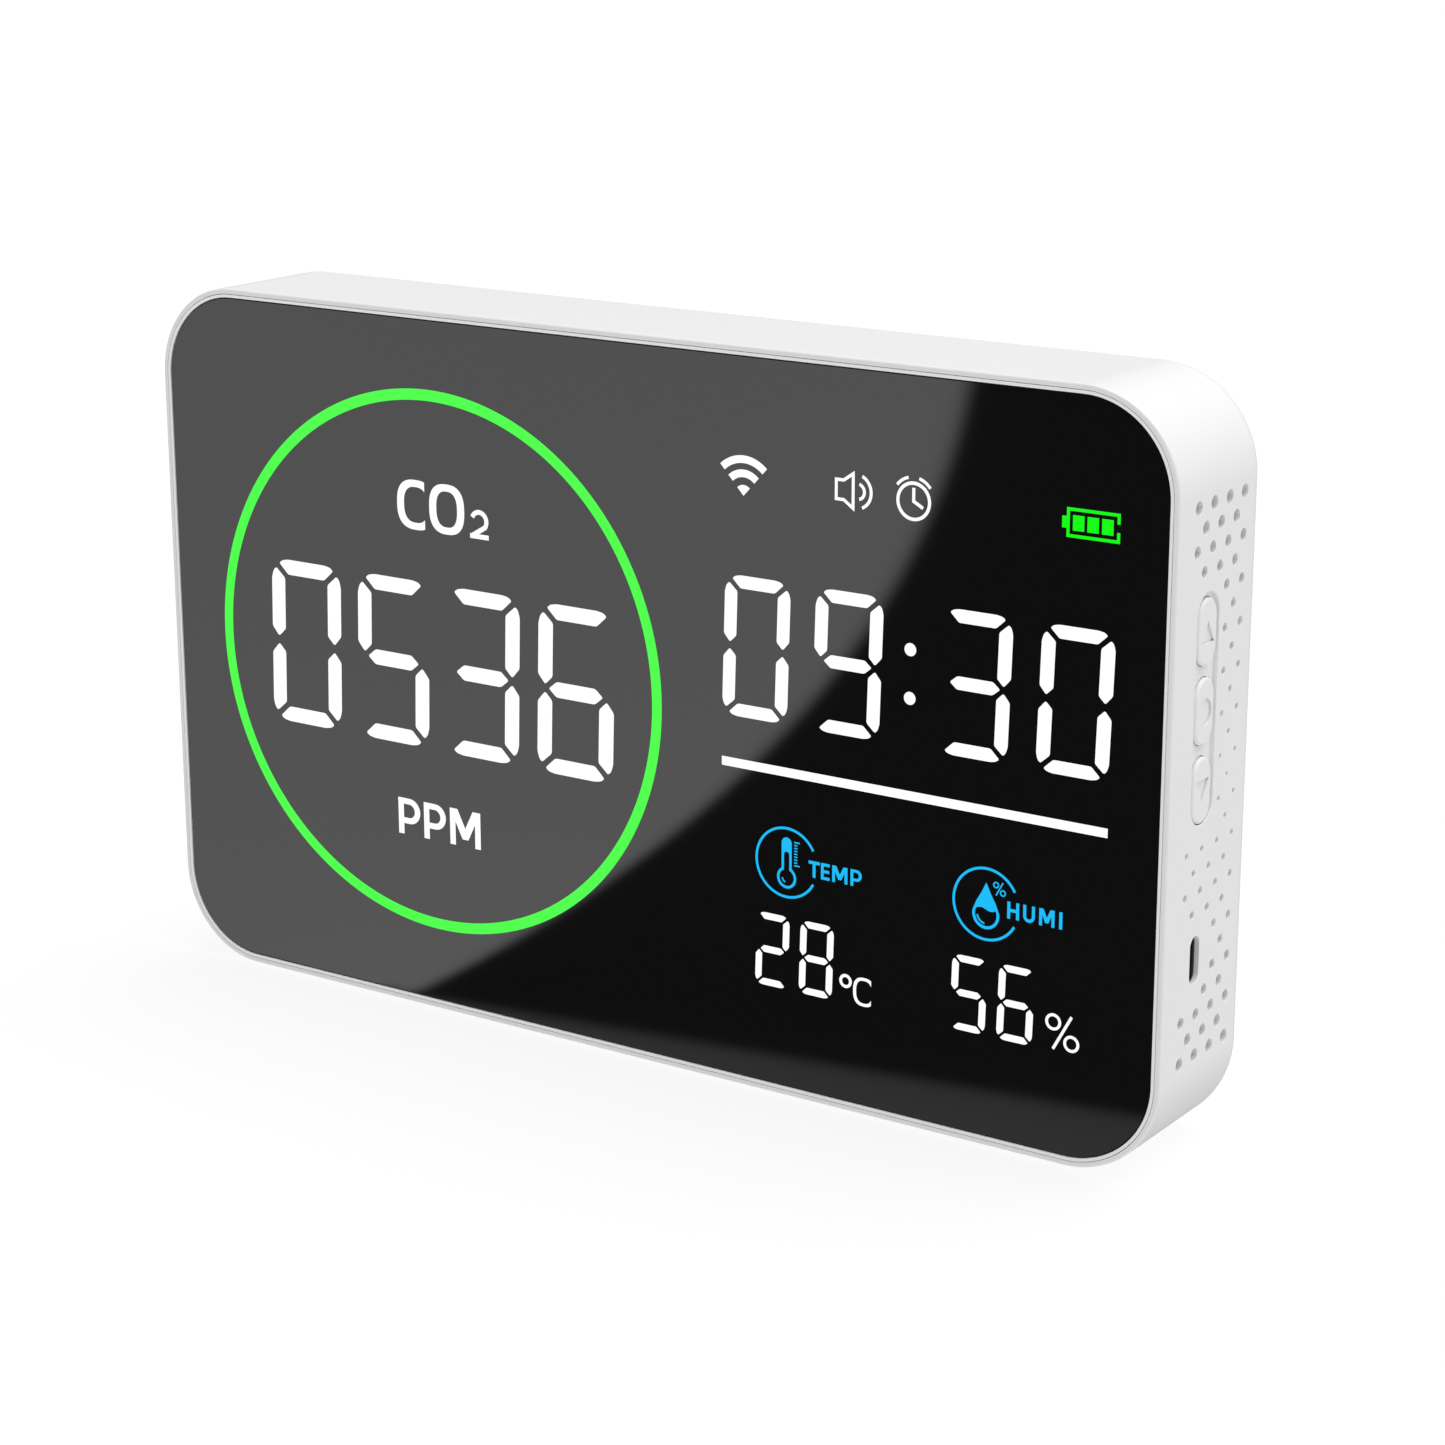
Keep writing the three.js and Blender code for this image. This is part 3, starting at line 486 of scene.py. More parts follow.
def shell_sections():
    """The moulding's wall as one chain, from its inner back, out over the rim, to its back."""
    inner_back = BACK - BACK_WALL
    rim_round = 0.05
    chain = [(WALL, inner_back), (WALL, FRONT + MOUTH_DEPTH), (RIM_BAND, FRONT + MOUTH_DEPTH)]
    chain += [(RIM_BAND, FRONT + rim_round), (RIM_BAND - rim_round, FRONT)]
    chain += [(inset, FRONT + advance) for inset, advance in quarter(FRONT_ROUND, 5)]
    back = [(inset, BACK - advance) for inset, advance in quarter(BACK_ROUND, 14)]
    chain += reversed(back)
    return [(case_outline(inset), y) for inset, y in chain]


def vent_holes():
    holes = []
    for row in range(-VENT_ROWS_EACH_WAY, VENT_ROWS_EACH_WAY + 1):
        z = VENT_Z + row * VENT_ROW_PITCH
        radius = (VENT_SMALLEST + VENT_GROWTH * abs(row)) / 2
        columns = (-1, 0, 1) if row % 2 == 0 else (-1.5, -0.5, 0.5, 1.5)
        for column in columns:
            y = VENT_Y + column * VENT_COLUMN_PITCH
            if not beside_buttons(y, z) and not around_port(y, z):
                holes.append((y, z, radius))
    return holes


def beside_buttons(y, z):
    margin = 1.3
    level = abs(z - RECESS_Z) < RECESS_LENGTH / 2 + margin
    return level and y < RECESS_Y + RECESS_WIDTH / 2 + margin


def around_port(y, z):
    past = max(abs(z - PORT_Z) - (PORT_LENGTH - PORT_WIDTH) / 2, 0)
    return math.hypot(y - PORT_Y, past) < PORT_KEEP_OUT


def flared(outline, floor, edge_round, face):
    """Sections of a cutter whose mouth opens out, so that the edge it leaves is rounded."""
    sections = [(outline(0), floor)]
    for grow, depth in reversed(quarter(edge_round, 4)):
        sections.append((outline(grow), face - depth))
    sections.append((outline(edge_round), face + OVERSHOOT))
    return sections


# Each of these gives an outline as a function of how far it is grown.

def grown_circle(x, z, radius):
    return lambda grow: circle(x, z, radius + grow)


def grown_pill(length, width, x, z, steps=16):
    return lambda grow: pill(length + 2 * grow, width + 2 * grow, x, z, steps)


def grown_air_slot(z):
    """A pill lying flat."""
    def outline(grow):
        upright = pill(AIR_SLOT_LENGTH + 2 * grow, AIR_SLOT_WIDTH + 2 * grow)
        return [(AIR_SLOT_X + v, z + u) for u, v in upright]
    return outline


def grown_keyhole(x):
    """A round entry with a narrower slot above it."""
    def outline(grow):
        head, slot = KEYHOLE_HEAD + grow, KEYHOLE_SLOT + grow
        meet = math.degrees(math.acos(slot / head))
        big = arc(x, KEYHOLE_Z, head, 180 - meet, 360 + meet, 40)
        top = arc(x, KEYHOLE_Z + KEYHOLE_RISE, slot, 0, 180, 18)
        return big + top
    return outline


def right_side_cutters():
    """The vents, the long recess around the buttons and the mouth of the charging port."""
    inside = RIGHT - WALL - OVERSHOOT
    vent_round, recess_round, port_round = 0.08, 0.12, 0.12
    cutters = [
        flared(grown_circle(y, z, radius), inside, vent_round, RIGHT)
        for y, z, radius in vent_holes()
    ]
    recess_length, recess_width = RECESS_LENGTH - 2 * recess_round, RECESS_WIDTH - 2 * recess_round
    recess = grown_pill(recess_length, recess_width, RECESS_Y, RECESS_Z)
    cutters.append(flared(recess, RIGHT - RECESS_DEPTH, recess_round, RIGHT))
    port = grown_pill(PORT_LENGTH - 2 * port_round, PORT_WIDTH - 2 * port_round, PORT_Y, PORT_Z)
    cutters.append(flared(port, inside, port_round, RIGHT))
    return cutters


def inner_side_cutters():
    """The openings that the buttons pass through and the pocket that holds the socket's end."""
    inside = RIGHT - WALL - OVERSHOOT
    cutters = []
    for name in MARK_DIRECTIONS:
        z = middle_of(name).z
        outline = pill(BUTTON_LENGTH + 2 * BUTTON_GAP, BUTTON_WIDTH + 2 * BUTTON_GAP, BUTTON_Y, z)
        cutters.append([(outline, inside), (outline, RIGHT + OVERSHOOT)])
    socket = size_of("usb_receptacle")
    pocket = pill(socket.z + 2 * PORT_POCKET_GAP, socket.y + 2 * PORT_POCKET_GAP, PORT_Y, PORT_Z)
    cutters.append([(pocket, inside), (pocket, RIGHT - PORT_WALL)])
    return cutters


def back_cutters():
    """Two keyholes for wall screws, the air slots and the counterbores of the case screws."""
    inside = BACK - BACK_WALL - OVERSHOOT
    keyhole_round, slot_round, screw_round = 0.3, 0.2, 0.3
    cutters = [
        flared(grown_keyhole(x), inside, keyhole_round, BACK)
        for x in (-KEYHOLE_X, KEYHOLE_X)
    ]
    for index in range(AIR_SLOT_COUNT):
        z = AIR_SLOT_Z + (index - (AIR_SLOT_COUNT - 1) / 2) * AIR_SLOT_PITCH
        cutters.append(flared(grown_air_slot(z), inside, slot_round, BACK))
    for x, z in screw_places():
        cutters.append(flared(grown_circle(x, z, COUNTERBORE), SCREW_SEAT, screw_round, BACK))
    return cutters


def screw_places():
    return [(x, z) for x in (-SCREW_X, SCREW_X) for z in (-SCREW_Z, SCREW_Z)]


def rods(radius, start, end):
    """Sections of a round rod at each screw."""
    return [
        [(circle(x, z, radius), start), (circle(x, z, radius), end)]
        for x, z in screw_places()
    ]


def make_shell():
    shell = lofted("case_shell", [shell_sections()])
    bosses = rods(BOSS_RADIUS, BOSS_FRONT, BACK - BACK_WALL + OVERSHOOT)
    screw_holes = rods(SCREW_BORE, BOSS_FRONT - OVERSHOOT, SCREW_SEAT + OVERSHOOT)
    boolean(shell, lofted("bosses", bosses), "UNION")
    boolean(shell, lofted("side_cutters", right_side_cutters(), from_right), "DIFFERENCE")
    boolean(shell, lofted("openings", inner_side_cutters(), from_right), "DIFFERENCE")
    boolean(shell, lofted("back_cutters", back_cutters()), "DIFFERENCE")
    boolean(shell, lofted("screw_holes", screw_holes), "DIFFERENCE")
    smooth(shell)
    place(shell, "case", WHITE_CASE, ["rear_shell"])


def make_frame():
    seam_round, lip_round = 0.05, 0.12
    outer, lip, window = FRAME_MARGIN, FRAME_MARGIN + FRAME_LIP, FRAME_MARGIN + FRAME_SHELF
    shelf = GLASS_BACK + TAPE_THICKNESS
    chain = [
        (outer, FRAME_BACK),
        (outer, FRONT + seam_round),
        (outer + seam_round, FRONT),
        (lip - lip_round, FRONT),
        (lip - lip_round * BEVEL_MIDDLE, FRONT + lip_round * BEVEL_MIDDLE),
        (lip, FRONT + lip_round),
        (lip, shelf),
        (window, shelf),
        (window, FRAME_BACK),
    ]
    sections = [(case_outline(inset), y) for inset, y in chain]
    piece = smooth(lofted("glass_frame", [sections], closed=True))
    place(piece, "case", WHITE_FRAME, ["front_frame"])


def make_glass():
    edge = 0.15
    sections = [
        (case_outline(GLASS_MARGIN + edge), GLASS_FRONT),
        (case_outline(GLASS_MARGIN + edge * BEVEL_MIDDLE), GLASS_FRONT + edge * BEVEL_MIDDLE),
        (case_outline(GLASS_MARGIN), GLASS_FRONT + edge),
        (case_outline(GLASS_MARGIN), GLASS_BACK - edge),
        (case_outline(GLASS_MARGIN + edge), GLASS_BACK),
    ]
    piece = smooth(lofted("glass_panel", [sections]))
    place(piece, "case", DARK_GLASS, ["front_glass"])


# -------- buttons

def button_mark(direction, z):
    """Outline of the sunk mark: a triangle pointing up (1) or down (-1), or a circle (0)."""
    if direction == 0:
        return circle(BUTTON_Y, z, MARK_RADIUS, 40)
    rise = direction * MARK_HALF_HEIGHT
    reach = direction * MARK_RADIUS
    return [(BUTTON_Y - reach, z - rise), (BUTTON_Y + reach, z - rise), (BUTTON_Y, z + rise)]


def make_button(name, direction):
    """A stem, the flange that keeps the button in the case, and a cap with a sunk mark."""
    low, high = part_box(name)
    z = middle_of(name).z
    stem_end, top = low.x / MM, high.x / MM
    flange_front = RIGHT - WALL - BUTTON_GAP
    flange_back = flange_front - FLANGE_THICKNESS
    edge, stem_width = 0.5, 2.8
    stem = pill(stem_width + 0.1, stem_width, BUTTON_Y, z)
    flange = pill(FLANGE_LENGTH, FLANGE_WIDTH, BUTTON_Y, z)
    sections = [(stem, stem_end), (stem, flange_back), (flange, flange_back), (flange, flange_front)]
    sections.append((pill(BUTTON_LENGTH, BUTTON_WIDTH, BUTTON_Y, z), flange_front))
    for inset, advance in reversed(quarter(edge, 8)):
        outline = pill(BUTTON_LENGTH - 2 * inset, BUTTON_WIDTH - 2 * inset, BUTTON_Y, z)
        sections.append((outline, top - advance))
    piece = lofted(name + "_cap", [sections], from_right)
    mark = button_mark(direction, z)
    pocket_sections = [(mark, top - MARK_DEPTH), (mark, top + OVERSHOOT)]
    pocket = lofted("mark", [pocket_sections], from_right)
    boolean(piece, pocket, "DIFFERENCE")
    smooth(piece)
    place(piece, name.replace("_button", "_key"), WHITE_BUTTON, [name])


# -------- charging socket

def make_socket():
    """A drawn steel shell around a black carrier, with a tongue and its contacts."""
    low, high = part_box("usb_receptacle")
    rear, mouth = low.x / MM, high.x / MM
    wall, collar, collar_edge, carrier_floor = 0.3, 0.28, 0.08, rear + 3
    size = size_of("usb_receptacle")
    outline = grown_pill(size.z, size.y, PORT_Y, PORT_Z, steps=20)
    shell_chain = [
        (0, rear),
        (0, mouth - collar - FIT),
        (wall, mouth - collar - FIT),
        (wall, rear + 1),
        (wall + 0.4, rear + 1),
        (wall + 0.4, rear),
    ]
    steel_sections = [(outline(-inset), x) for inset, x in shell_chain]
    shell = lofted("socket_shell", [steel_sections], from_right, closed=True)
    place(smooth(shell), "case", STEEL, ["usb_receptacle"])
    gap_in_front, gap_around = 0.03, 0.05
    collar_front = RIGHT - PORT_WALL - gap_in_front
    collar_reach = PORT_POCKET_GAP - gap_around
    carrier_chain = [
        (wall + 0.02, rear + 1.1),
        (wall + 0.02, mouth - collar),
        (-collar_reach, mouth - collar),
        (-collar_reach, collar_front - collar_edge),
        (collar_edge - collar_reach, collar_front),
        (wall + 0.1, collar_front),
        (wall + 0.2, collar_front - 0.1),
        (wall + 0.2, carrier_floor),
    ]
    carrier_sections = [(outline(-inset), x) for inset, x in carrier_chain]
    carrier = lofted("socket_carrier", [carrier_sections], from_right)
    place(smooth(carrier), "case", CHIP)
    tip = rounded_rect(TONGUE_THICKNESS, TONGUE_WIDTH, 0.2, PORT_Y, PORT_Z, steps=3)
    tongue_sections = [(tip, carrier_floor - FIT), (tip, mouth - TONGUE_SETBACK)]
    tongue = lofted("socket_tongue", [tongue_sections], from_right)
    place(smooth(tongue), "case", CHIP)
    strips = socket_contacts(carrier_floor, mouth - CONTACT_SETBACK)
    contacts = lofted("socket_contacts", strips, from_right)
    place(contacts, "case", GOLD)


def socket_contacts(start, end):
    """Sections of thin strips on both sides of the tongue."""
    contacts = []
    for side in (-1, 1):
        y = PORT_Y + side * TONGUE_THICKNESS / 2
        for index in range(CONTACT_COUNT):
            z = PORT_Z + (index - (CONTACT_COUNT - 1) / 2) * CONTACT_PITCH
            strip = rounded_rect(CONTACT_THICKNESS, CONTACT_WIDTH, 0.02, y, z, steps=2)
            contacts.append([(strip, start), (strip, end)])
    return contacts


# -------- lit figures

# A shape is a list of outlines: its outside, then any holes in it.

LIT_PROUD = 0.05
LIT_WELD_DISTANCE = 1e-7
SLANT = 0.03


def filled(outlines):
    """A thin flat mesh of one shape, drawn in X and Y."""
    curve = bpy.data.curves.new("shape", "CURVE")
    curve.dimensions = "2D"
    curve.fill_mode = "BOTH"
    curve.extrude = LIT_PROUD * MM
    for outline in outlines:
        spline = curve.splines.new("POLY")
        spline.points.add(len(outline) - 1)
        for point, (x, z) in zip(spline.points, outline):
            point.co = (x * MM, z * MM, 0, 1)
        spline.use_cyclic_u = True
    source = bpy.data.objects.new("shape", curve)
    bpy.context.scene.collection.objects.link(source)
    graph = bpy.context.evaluated_depsgraph_get()
    mesh = bpy.data.meshes.new_from_object(source.evaluated_get(graph), depsgraph=graph)
    bpy.data.objects.remove(source)
    return mesh


def lit_plate(name, shapes, material):
    """Shapes let into the front of the glass, standing only a hair proud of it."""
    bm = bmesh.new()
    for outlines in shapes:
        bm.from_mesh(filled(outlines))
    bmesh.ops.remove_doubles(bm, verts=bm.verts, dist=LIT_WELD_DISTANCE)
    bmesh.ops.recalc_face_normals(bm, faces=bm.faces)
    bm.transform(Matrix.Rotation(math.radians(90), 4, "X"))
    bm.transform(Matrix.Translation(GLASS_MIDDLE))
    place(link_mesh(bm, name), "case", material)


def white_plate(name, shapes):
    lit_plate(name, shapes, LIT_WHITE)


def rounded(points, radius):
    """The outline with each corner replaced by a short curve."""
    steps = 4
    result = []
    count = len(points)
    for i, corner in enumerate(points):
        here = Vector(corner)
        before = Vector(points[i - 1]) - here
        after = Vector(points[(i + 1) % count]) - here
        reach = min(radius, before.length * 0.45, after.length * 0.45)
        start, end = here + before.normalized() * reach, here + after.normalized() * reach
        for k in range(steps + 1):
            t = k / steps
            point = start * (1 - t) ** 2 + here * 2 * t * (1 - t) + end * t ** 2
            result.append((point.x, point.y))
    return result


# Which of a figure's seven bars are lit: a on top, then clockwise to f, with g in the middle.
LIT_BARS = {
    "0": "abcdef",
    "2": "abged",
    "3": "abgcd",
    "5": "afgcd",
    "6": "afgedc",
    "8": "abcdefg",
    "9": "abcdfg",
}

# The bars of a figure, measured from its middle.
FIGURE_HEIGHT = 32.4
FIGURE_HALF_WIDTH = 8.65
UPRIGHT_WIDTH = 3.28
BAR_HEIGHT = 2.95
BAR_CORNER = 0.42


def figure_bars():
    """Outline of each bar by its letter. The end bar is a, and the side bar is b."""
    half, top = FIGURE_HALF_WIDTH, FIGURE_HEIGHT / 2
    inside, under = half - UPRIGHT_WIDTH, top - BAR_HEIGHT
    end_right = [
        (half - 4.15, under),
        (half - 1.9, top - 0.85),
        (half - 2.7, top - 0.25),
        (half - 4.1, top),
    ]
    end = end_right + [(-u, v) for u, v in reversed(end_right)]
    half_bar = BAR_HEIGHT / 2
    middle_right = [(half - 4.3, -half_bar), (half - 2.5, 0), (half - 4.3, half_bar)]
    middle = middle_right + [(-u, v) for u, v in reversed(middle_right)]
    side = [
        (half - 1.05, top - 1.8),
        (half - 0.4, top - 2.5),
        (half, top - 3.9),
        (half, 2.6),
        (half - UPRIGHT_WIDTH / 2, 0.72),
        (inside, 2.3),
        (inside, top - 3.75),
    ]
    return {
        "a": end,
        "b": side,
        "c": [(u, -v) for u, v in side],
        "d": [(u, -v) for u, v in end],
        "e": [(-u, -v) for u, v in side],
        "f": [(-u, v) for u, v in side],
        "g": middle,
    }


def figure(character, x, z, height, narrowing):
    """The lit bars of a seven-bar figure, leaning slightly to the right."""
    scale = height / FIGURE_HEIGHT
    bars = figure_bars()
    shapes = []
    for key in LIT_BARS[character]:
        outline = rounded(bars[key], BAR_CORNER)
        shapes.append([
            [(x + scale * (u * narrowing + SLANT * v), z + scale * v) for u, v in outline]
        ])
    return shapes


def figures(text, places, z, height, narrowing=1.0):
    shapes = []
    for character, x in zip(text, places):
        shapes += figure(character, x, z, height, narrowing)
    return shapes


def stroke(points, width):
    """The shape of an open line of even width with square ends."""
    line = [Vector(p) for p in points]
    left, right = [], []
    for i, here in enumerate(line):
        ahead = (line[min(i + 1, len(line) - 1)] - line[max(i - 1, 0)]).normalized()
        reach = width / 2
        if 0 < i < len(line) - 1:
            first, second = (here - line[i - 1]).normalized(), (line[i + 1] - here).normalized()
            ahead = (first + second).normalized()
            reach = width / 2 / max(0.35, ahead.dot(first))
        normal = Vector((-ahead.y, ahead.x)) * reach
        left.append(tuple(here + normal))
        right.append(tuple(here - normal))
    return [left + right[::-1]]


def band(x, z, middle, line, start, end, steps=18):
    """The shape of a piece of a ring between two angles."""
    outer, inner = middle + line / 2, middle - line / 2
    return [arc(x, z, outer, start, end, steps) + arc(x, z, inner, end, start, steps)]


def ring(x, z, outer, inner, steps=CIRCLE_STEPS):
    return [circle(x, z, outer, steps), circle(x, z, inner, steps)]


def bulged(x, z, half_width, half_height, start=0.0, end=360.0):
    """Part of an oval with fuller corners than an ellipse has."""
    steps, power = 48, 2 / 2.6
    points = []
    for i in range(steps + 1):
        turn = math.radians(start + (end - start) * i / steps)
        u, v = math.cos(turn), math.sin(turn)
        across = math.copysign(abs(u) ** power, u)
        up = math.copysign(abs(v) ** power, v)
        points.append((x + half_width * across, z + half_height * up))
    return points


def letter_o(x, z, width, height, upright, bar):
    """A letter O, x and z at its middle."""
    outside = bulged(x, z, width / 2, height / 2)[:-1]
    return [outside, bulged(x, z, width / 2 - upright, height / 2 - bar)[:-1]]


def letter_c(x, z, half_width, reach, height, upright, bar):
    """A letter C: an oval about x and z whose arms end at a reach to the right of x."""
    def opening(half):
        return math.degrees(math.acos((reach / half) ** 1.3))

    outer, inner = opening(half_width), opening(half_width - upright)
    outside = bulged(x, z, half_width, height / 2, outer, 360 - outer)
    inside = bulged(x, z, half_width - upright, height / 2 - bar, 360 - inner, inner)
    return [outside + inside]


def letter_p(x, z, width, height, line):
    """A letter P, x and z at its bottom left corner."""
    top, radius = z + height, height * 0.35
    right, bowl = x + width - radius, z + height * 0.3
    outside = [(x, z), (x + line, z), (x + line, bowl)]
    outside += arc(right, top - radius, radius, -90, 90, 14) + [(x, top)]
    hole = radius - line * 0.9
    inside = [(x + line, top - radius - hole)]
    inside += arc(right - line * 0.1, top - radius, hole, -90, 90, 10)
    inside += [(x + line, top - radius + hole)]
    return [outside, inside]


def letter_m(x, z, width, height, line):
    middle, far, top = x + width / 2, x + width, z + height
    foot, shoulder = z + height * 0.19, z + height * 0.66
    notch, arm = line * 0.53, line * 1.4
    return [[
        (x, z), (x + line, z), (x + line, shoulder), (middle - notch, foot), (middle + notch, foot),
        (far - line, shoulder), (far - line, z), (far, z), (far, top), (far - arm, top),
        (middle, z + height * 0.49), (x + arm, top), (x, top),
    ]]


def letter_t(x, z, width, height, line):
    left, right, top = x + (width - line) / 2, x + (width + line) / 2, z + height
    return [[
        (left, z), (right, z), (right, top - line), (x + width, top - line), (x + width, top),
        (x, top), (x, top - line), (left, top - line),
    ]]


def letter_e(x, z, width, height, line):
    far, inside, top = x + width, x + line, z + height
    low, high = z + (height - line) / 2, z + (height + line) / 2
    return [[
        (x, z), (far, z), (far, z + line), (inside, z + line), (inside, low), (far - 0.1, low),
        (far - 0.1, high), (inside, high), (inside, top - line), (far, top - line), (far, top),
        (x, top),
    ]]


def letter_h(x, z, width, height, line):
    far, top = x + width, z + height
    low, high = z + (height - line) / 2, z + (height + line) / 2
    return [[
        (x, z), (x + line, z), (x + line, low), (far - line, low), (far - line, z), (far, z),
        (far, top), (far - line, top), (far - line, high), (x + line, high), (x + line, top),
        (x, top),
    ]]


def letter_u(x, z, width, height, line):
    radius = (width - line) / 2
    curve = arc(x + width / 2, z + radius + line / 2, radius, 180, 360, 12)
    return stroke([(x + line / 2, z + height)] + curve + [(x + width - line / 2, z + height)], line)


def upright_bar(x, z, width, height):
    return [[(x, z), (x + width, z), (x + width, z + height), (x, z + height)]]


def small_two(x, z, width, height, line):
    """A written figure 2, x and z at its bottom left corner."""
    radius = (width - line) / 2
    head = arc(x + width / 2, z + height - radius - line / 2, radius, 158, -38, 14)
    return [stroke(head + [(x + line * 0.6, z + line * 0.6)], line), upright_bar(x, z, width, line)]


def percent(x, z, size, line):
    """A percent sign, x and z at its middle."""
    radius = size * 0.24
    slash = stroke([(x - size * 0.27, z - size * 0.5), (x + size * 0.27, z + size * 0.5)], line)
    rings = [
        ring(x + side * size * 0.28, z - side * size * 0.26, radius, radius - line)
        for side in (-1, 1)
    ]
    return rings + [slash]


RING_WIDTH = 2.1
LARGE_FIGURES = {"text": "0536", "places": (-75.8, -54.2, -32.8, -11.15), "z": 0.45, "height": 32.4}
CLOCK_FIGURES = {"text": "0930", "places": (28.5, 47.45, 72.8, 92.0), "z": 14.55, "height": 25.7}
SMALL_FIGURES = {"z": -40.75, "height": 13.8, "narrowing": 0.95}
HEAT_FIGURES = {"text": "28", "places": (32.05, 41.4)}
DAMP_FIGURES = {"text": "56", "places": (72.7, 82.0)}
COLON_X = 60.05
COLON_HEIGHTS = (19.0, 10.4)
COLON_RADIUS = 1.15
DIVIDER = {"x": 21.2, "z": -7.8, "width": 77.5, "height": 1.65}


def make_level_ring():
    """The ring of light lies in front of its light guide, whose outside it shares."""
    guide = "ring_light_guide"
    outer = size_of(guide).x / 2
    shape = ring(middle_of(guide).x, middle_of(guide).z, outer, outer - RING_WIDTH, 160)
    lit_plate("level_ring", [shape], LIT_GREEN)


def make_readings():
    colon = [[circle(COLON_X, z, COLON_RADIUS)] for z in COLON_HEIGHTS]
    white_plate("reading_digits", figures(**LARGE_FIGURES))
    white_plate("clock_digits", figures(**CLOCK_FIGURES) + colon)
    white_plate("heat_digits", figures(**HEAT_FIGURES, **SMALL_FIGURES))
    white_plate("damp_digits", figures(**DAMP_FIGURES, **SMALL_FIGURES))
    white_plate("divider", [upright_bar(**DIVIDER)])


def make_gas_label():
    size = {"z": 31.25, "height": 9.5, "bar": 1.34}
    shapes = [
        letter_c(-47.75, half_width=4.45, reach=2.1, upright=1.62, **size),
        letter_o(-40.4, width=8.25, upright=1.65, **size),
    ]
    shapes += small_two(-34.95, 26.6, width=4.3, height=5.5, line=0.9)
    white_plate("gas_label", shapes)


def make_unit_label():
    size = {"z": -33.85, "height": 7.2, "line": 1.28}
    shapes = [letter_p(x, width=5.3, **size) for x in (-54.0, -47.75)]
    shapes.append(letter_m(-41.4, width=7.3, **size))
    white_plate("unit_label", shapes)


def make_small_units():
    degree = ring(47.6, -43.45, outer=1.3, inner=0.75)
    celsius = letter_c(51.45, -44.8, half_width=2.25, reach=1.45, height=5.35, upright=0.6, bar=0.54)
    white_plate("degree_unit", [degree, celsius])
    white_plate("percent_unit", percent(91.2, -43.95, size=6.4, line=0.52))


def make_wireless_symbol():
    x, z, half_angle = 25.85, 41.7, 43
    low, high = 90 - half_angle, 90 + half_angle
    shapes = [band(x, z, middle, 1.35, low, high) for middle in (6.45, 3.95)]
    shapes.append([[(x, z)] + arc(x, z, 1.9, low, high, 8)])
    white_plate("wireless_symbol", shapes)


def make_sound_symbol():
    x, z, line = 48.3, 45.15, 0.55
    box_left, box_right = x - 3.4, x - 1.9
    path = [(x, z), (x, z + 3.0), (box_right, z + 1.7), (box_left, z + 1.7)]
    path += [(u, 2 * z - v) for u, v in reversed(path)]
    waves = [band(x + 0.9, z, 1.35, line, -75, 75), band(x + 0.6, z, 3.0, line, -66, 66)]
    white_plate("sound_symbol", [stroke(path, line)] + waves)


def make_alarm_symbol():
    x, z, line = 60.3, 44.8, 0.58
    face = ring(x, z, 3.4, 3.4 - line, 40)
    hands = stroke([(x, z + 2.3), (x, z), (x + 1.85, z - 1.0)], line)
    bells = [band(x, z, 4.12, 0.52, start, start + 37) for start in (38, 105)]
    white_plate("alarm_symbol", [face, hands] + bells)


def make_battery_symbol():
    left, right, low, high, line = 89.5, 99.35, 42.35, 47.35, 0.55
    edge, middle = line / 2, (low + high) / 2
    body = stroke([
        (right - edge, middle + 0.7),
        (right - edge, high - edge),
        (left + edge, high - edge),
        (left + edge, low + edge),
        (right - edge, low + edge),
        (right - edge, middle - 0.7),
    ], line)
    knob = upright_bar(left - 0.85, middle - 1, 1.0, 2)
    bars = [upright_bar(left + 1.15 + index * 2.68, middle - 1.3, 2.1, 2.6) for index in range(3)]
    lit_plate("battery_symbol", [body, knob] + bars, LIT_STATUS_GREEN)


SYMBOL_Z = -23.7
SYMBOL_RADIUS = 6.4
SYMBOL_LINE = 0.46
LABEL = {"z": -25.45, "height": 3.05}


def symbol_ring(x):
    """A ring that is open at its right."""
    return band(x, SYMBOL_Z, SYMBOL_RADIUS, SYMBOL_LINE, 29, 331, 70)


def make_temperature_symbol():
    x, z = 35.05, SYMBOL_Z
    tube, bulb, wall = 1.05, 2.02, 0.48
    bulb_z, top_z = z - 2.8, z + 3.65
    meet = math.degrees(math.asin(tube / bulb))
    inner_meet = math.degrees(math.asin((tube - wall) / (bulb - wall)))
    outer = arc(x, bulb_z, bulb, 90 + meet, 450 - meet, 30) + arc(x, top_z, tube, 0, 180, 10)
    inner = arc(x, bulb_z, bulb - wall, 90 + inner_meet, 450 - inner_meet, 24)
    inner += arc(x, z + 1.5, tube - wall, 0, 180, 8)
    glint = band(x, bulb_z, 0.9, 0.26, 185, 250, 8)
    ticks = []
    for index in range(9):
        reach = 1.15 if index in (0, 8) else 0.65
        tick_z = z + 4.05 - index * 0.54
        ticks.append(upright_bar(x + 1.6, tick_z - 0.12, reach, 0.24))
    shapes = [symbol_ring(x), [outer, inner], glint] + ticks
    lit_plate("temperature_symbol", shapes, LIT_BLUE)
    letters = [
        letter_t(39.7, width=2.3, line=0.57, **LABEL),
        letter_e(42.3, width=1.8, line=0.54, **LABEL),
        letter_m(44.65, width=3.15, line=0.58, **LABEL),
        letter_p(48.45, width=2.3, line=0.56, **LABEL),
    ]
    lit_plate("temperature_label", letters, LIT_BLUE)


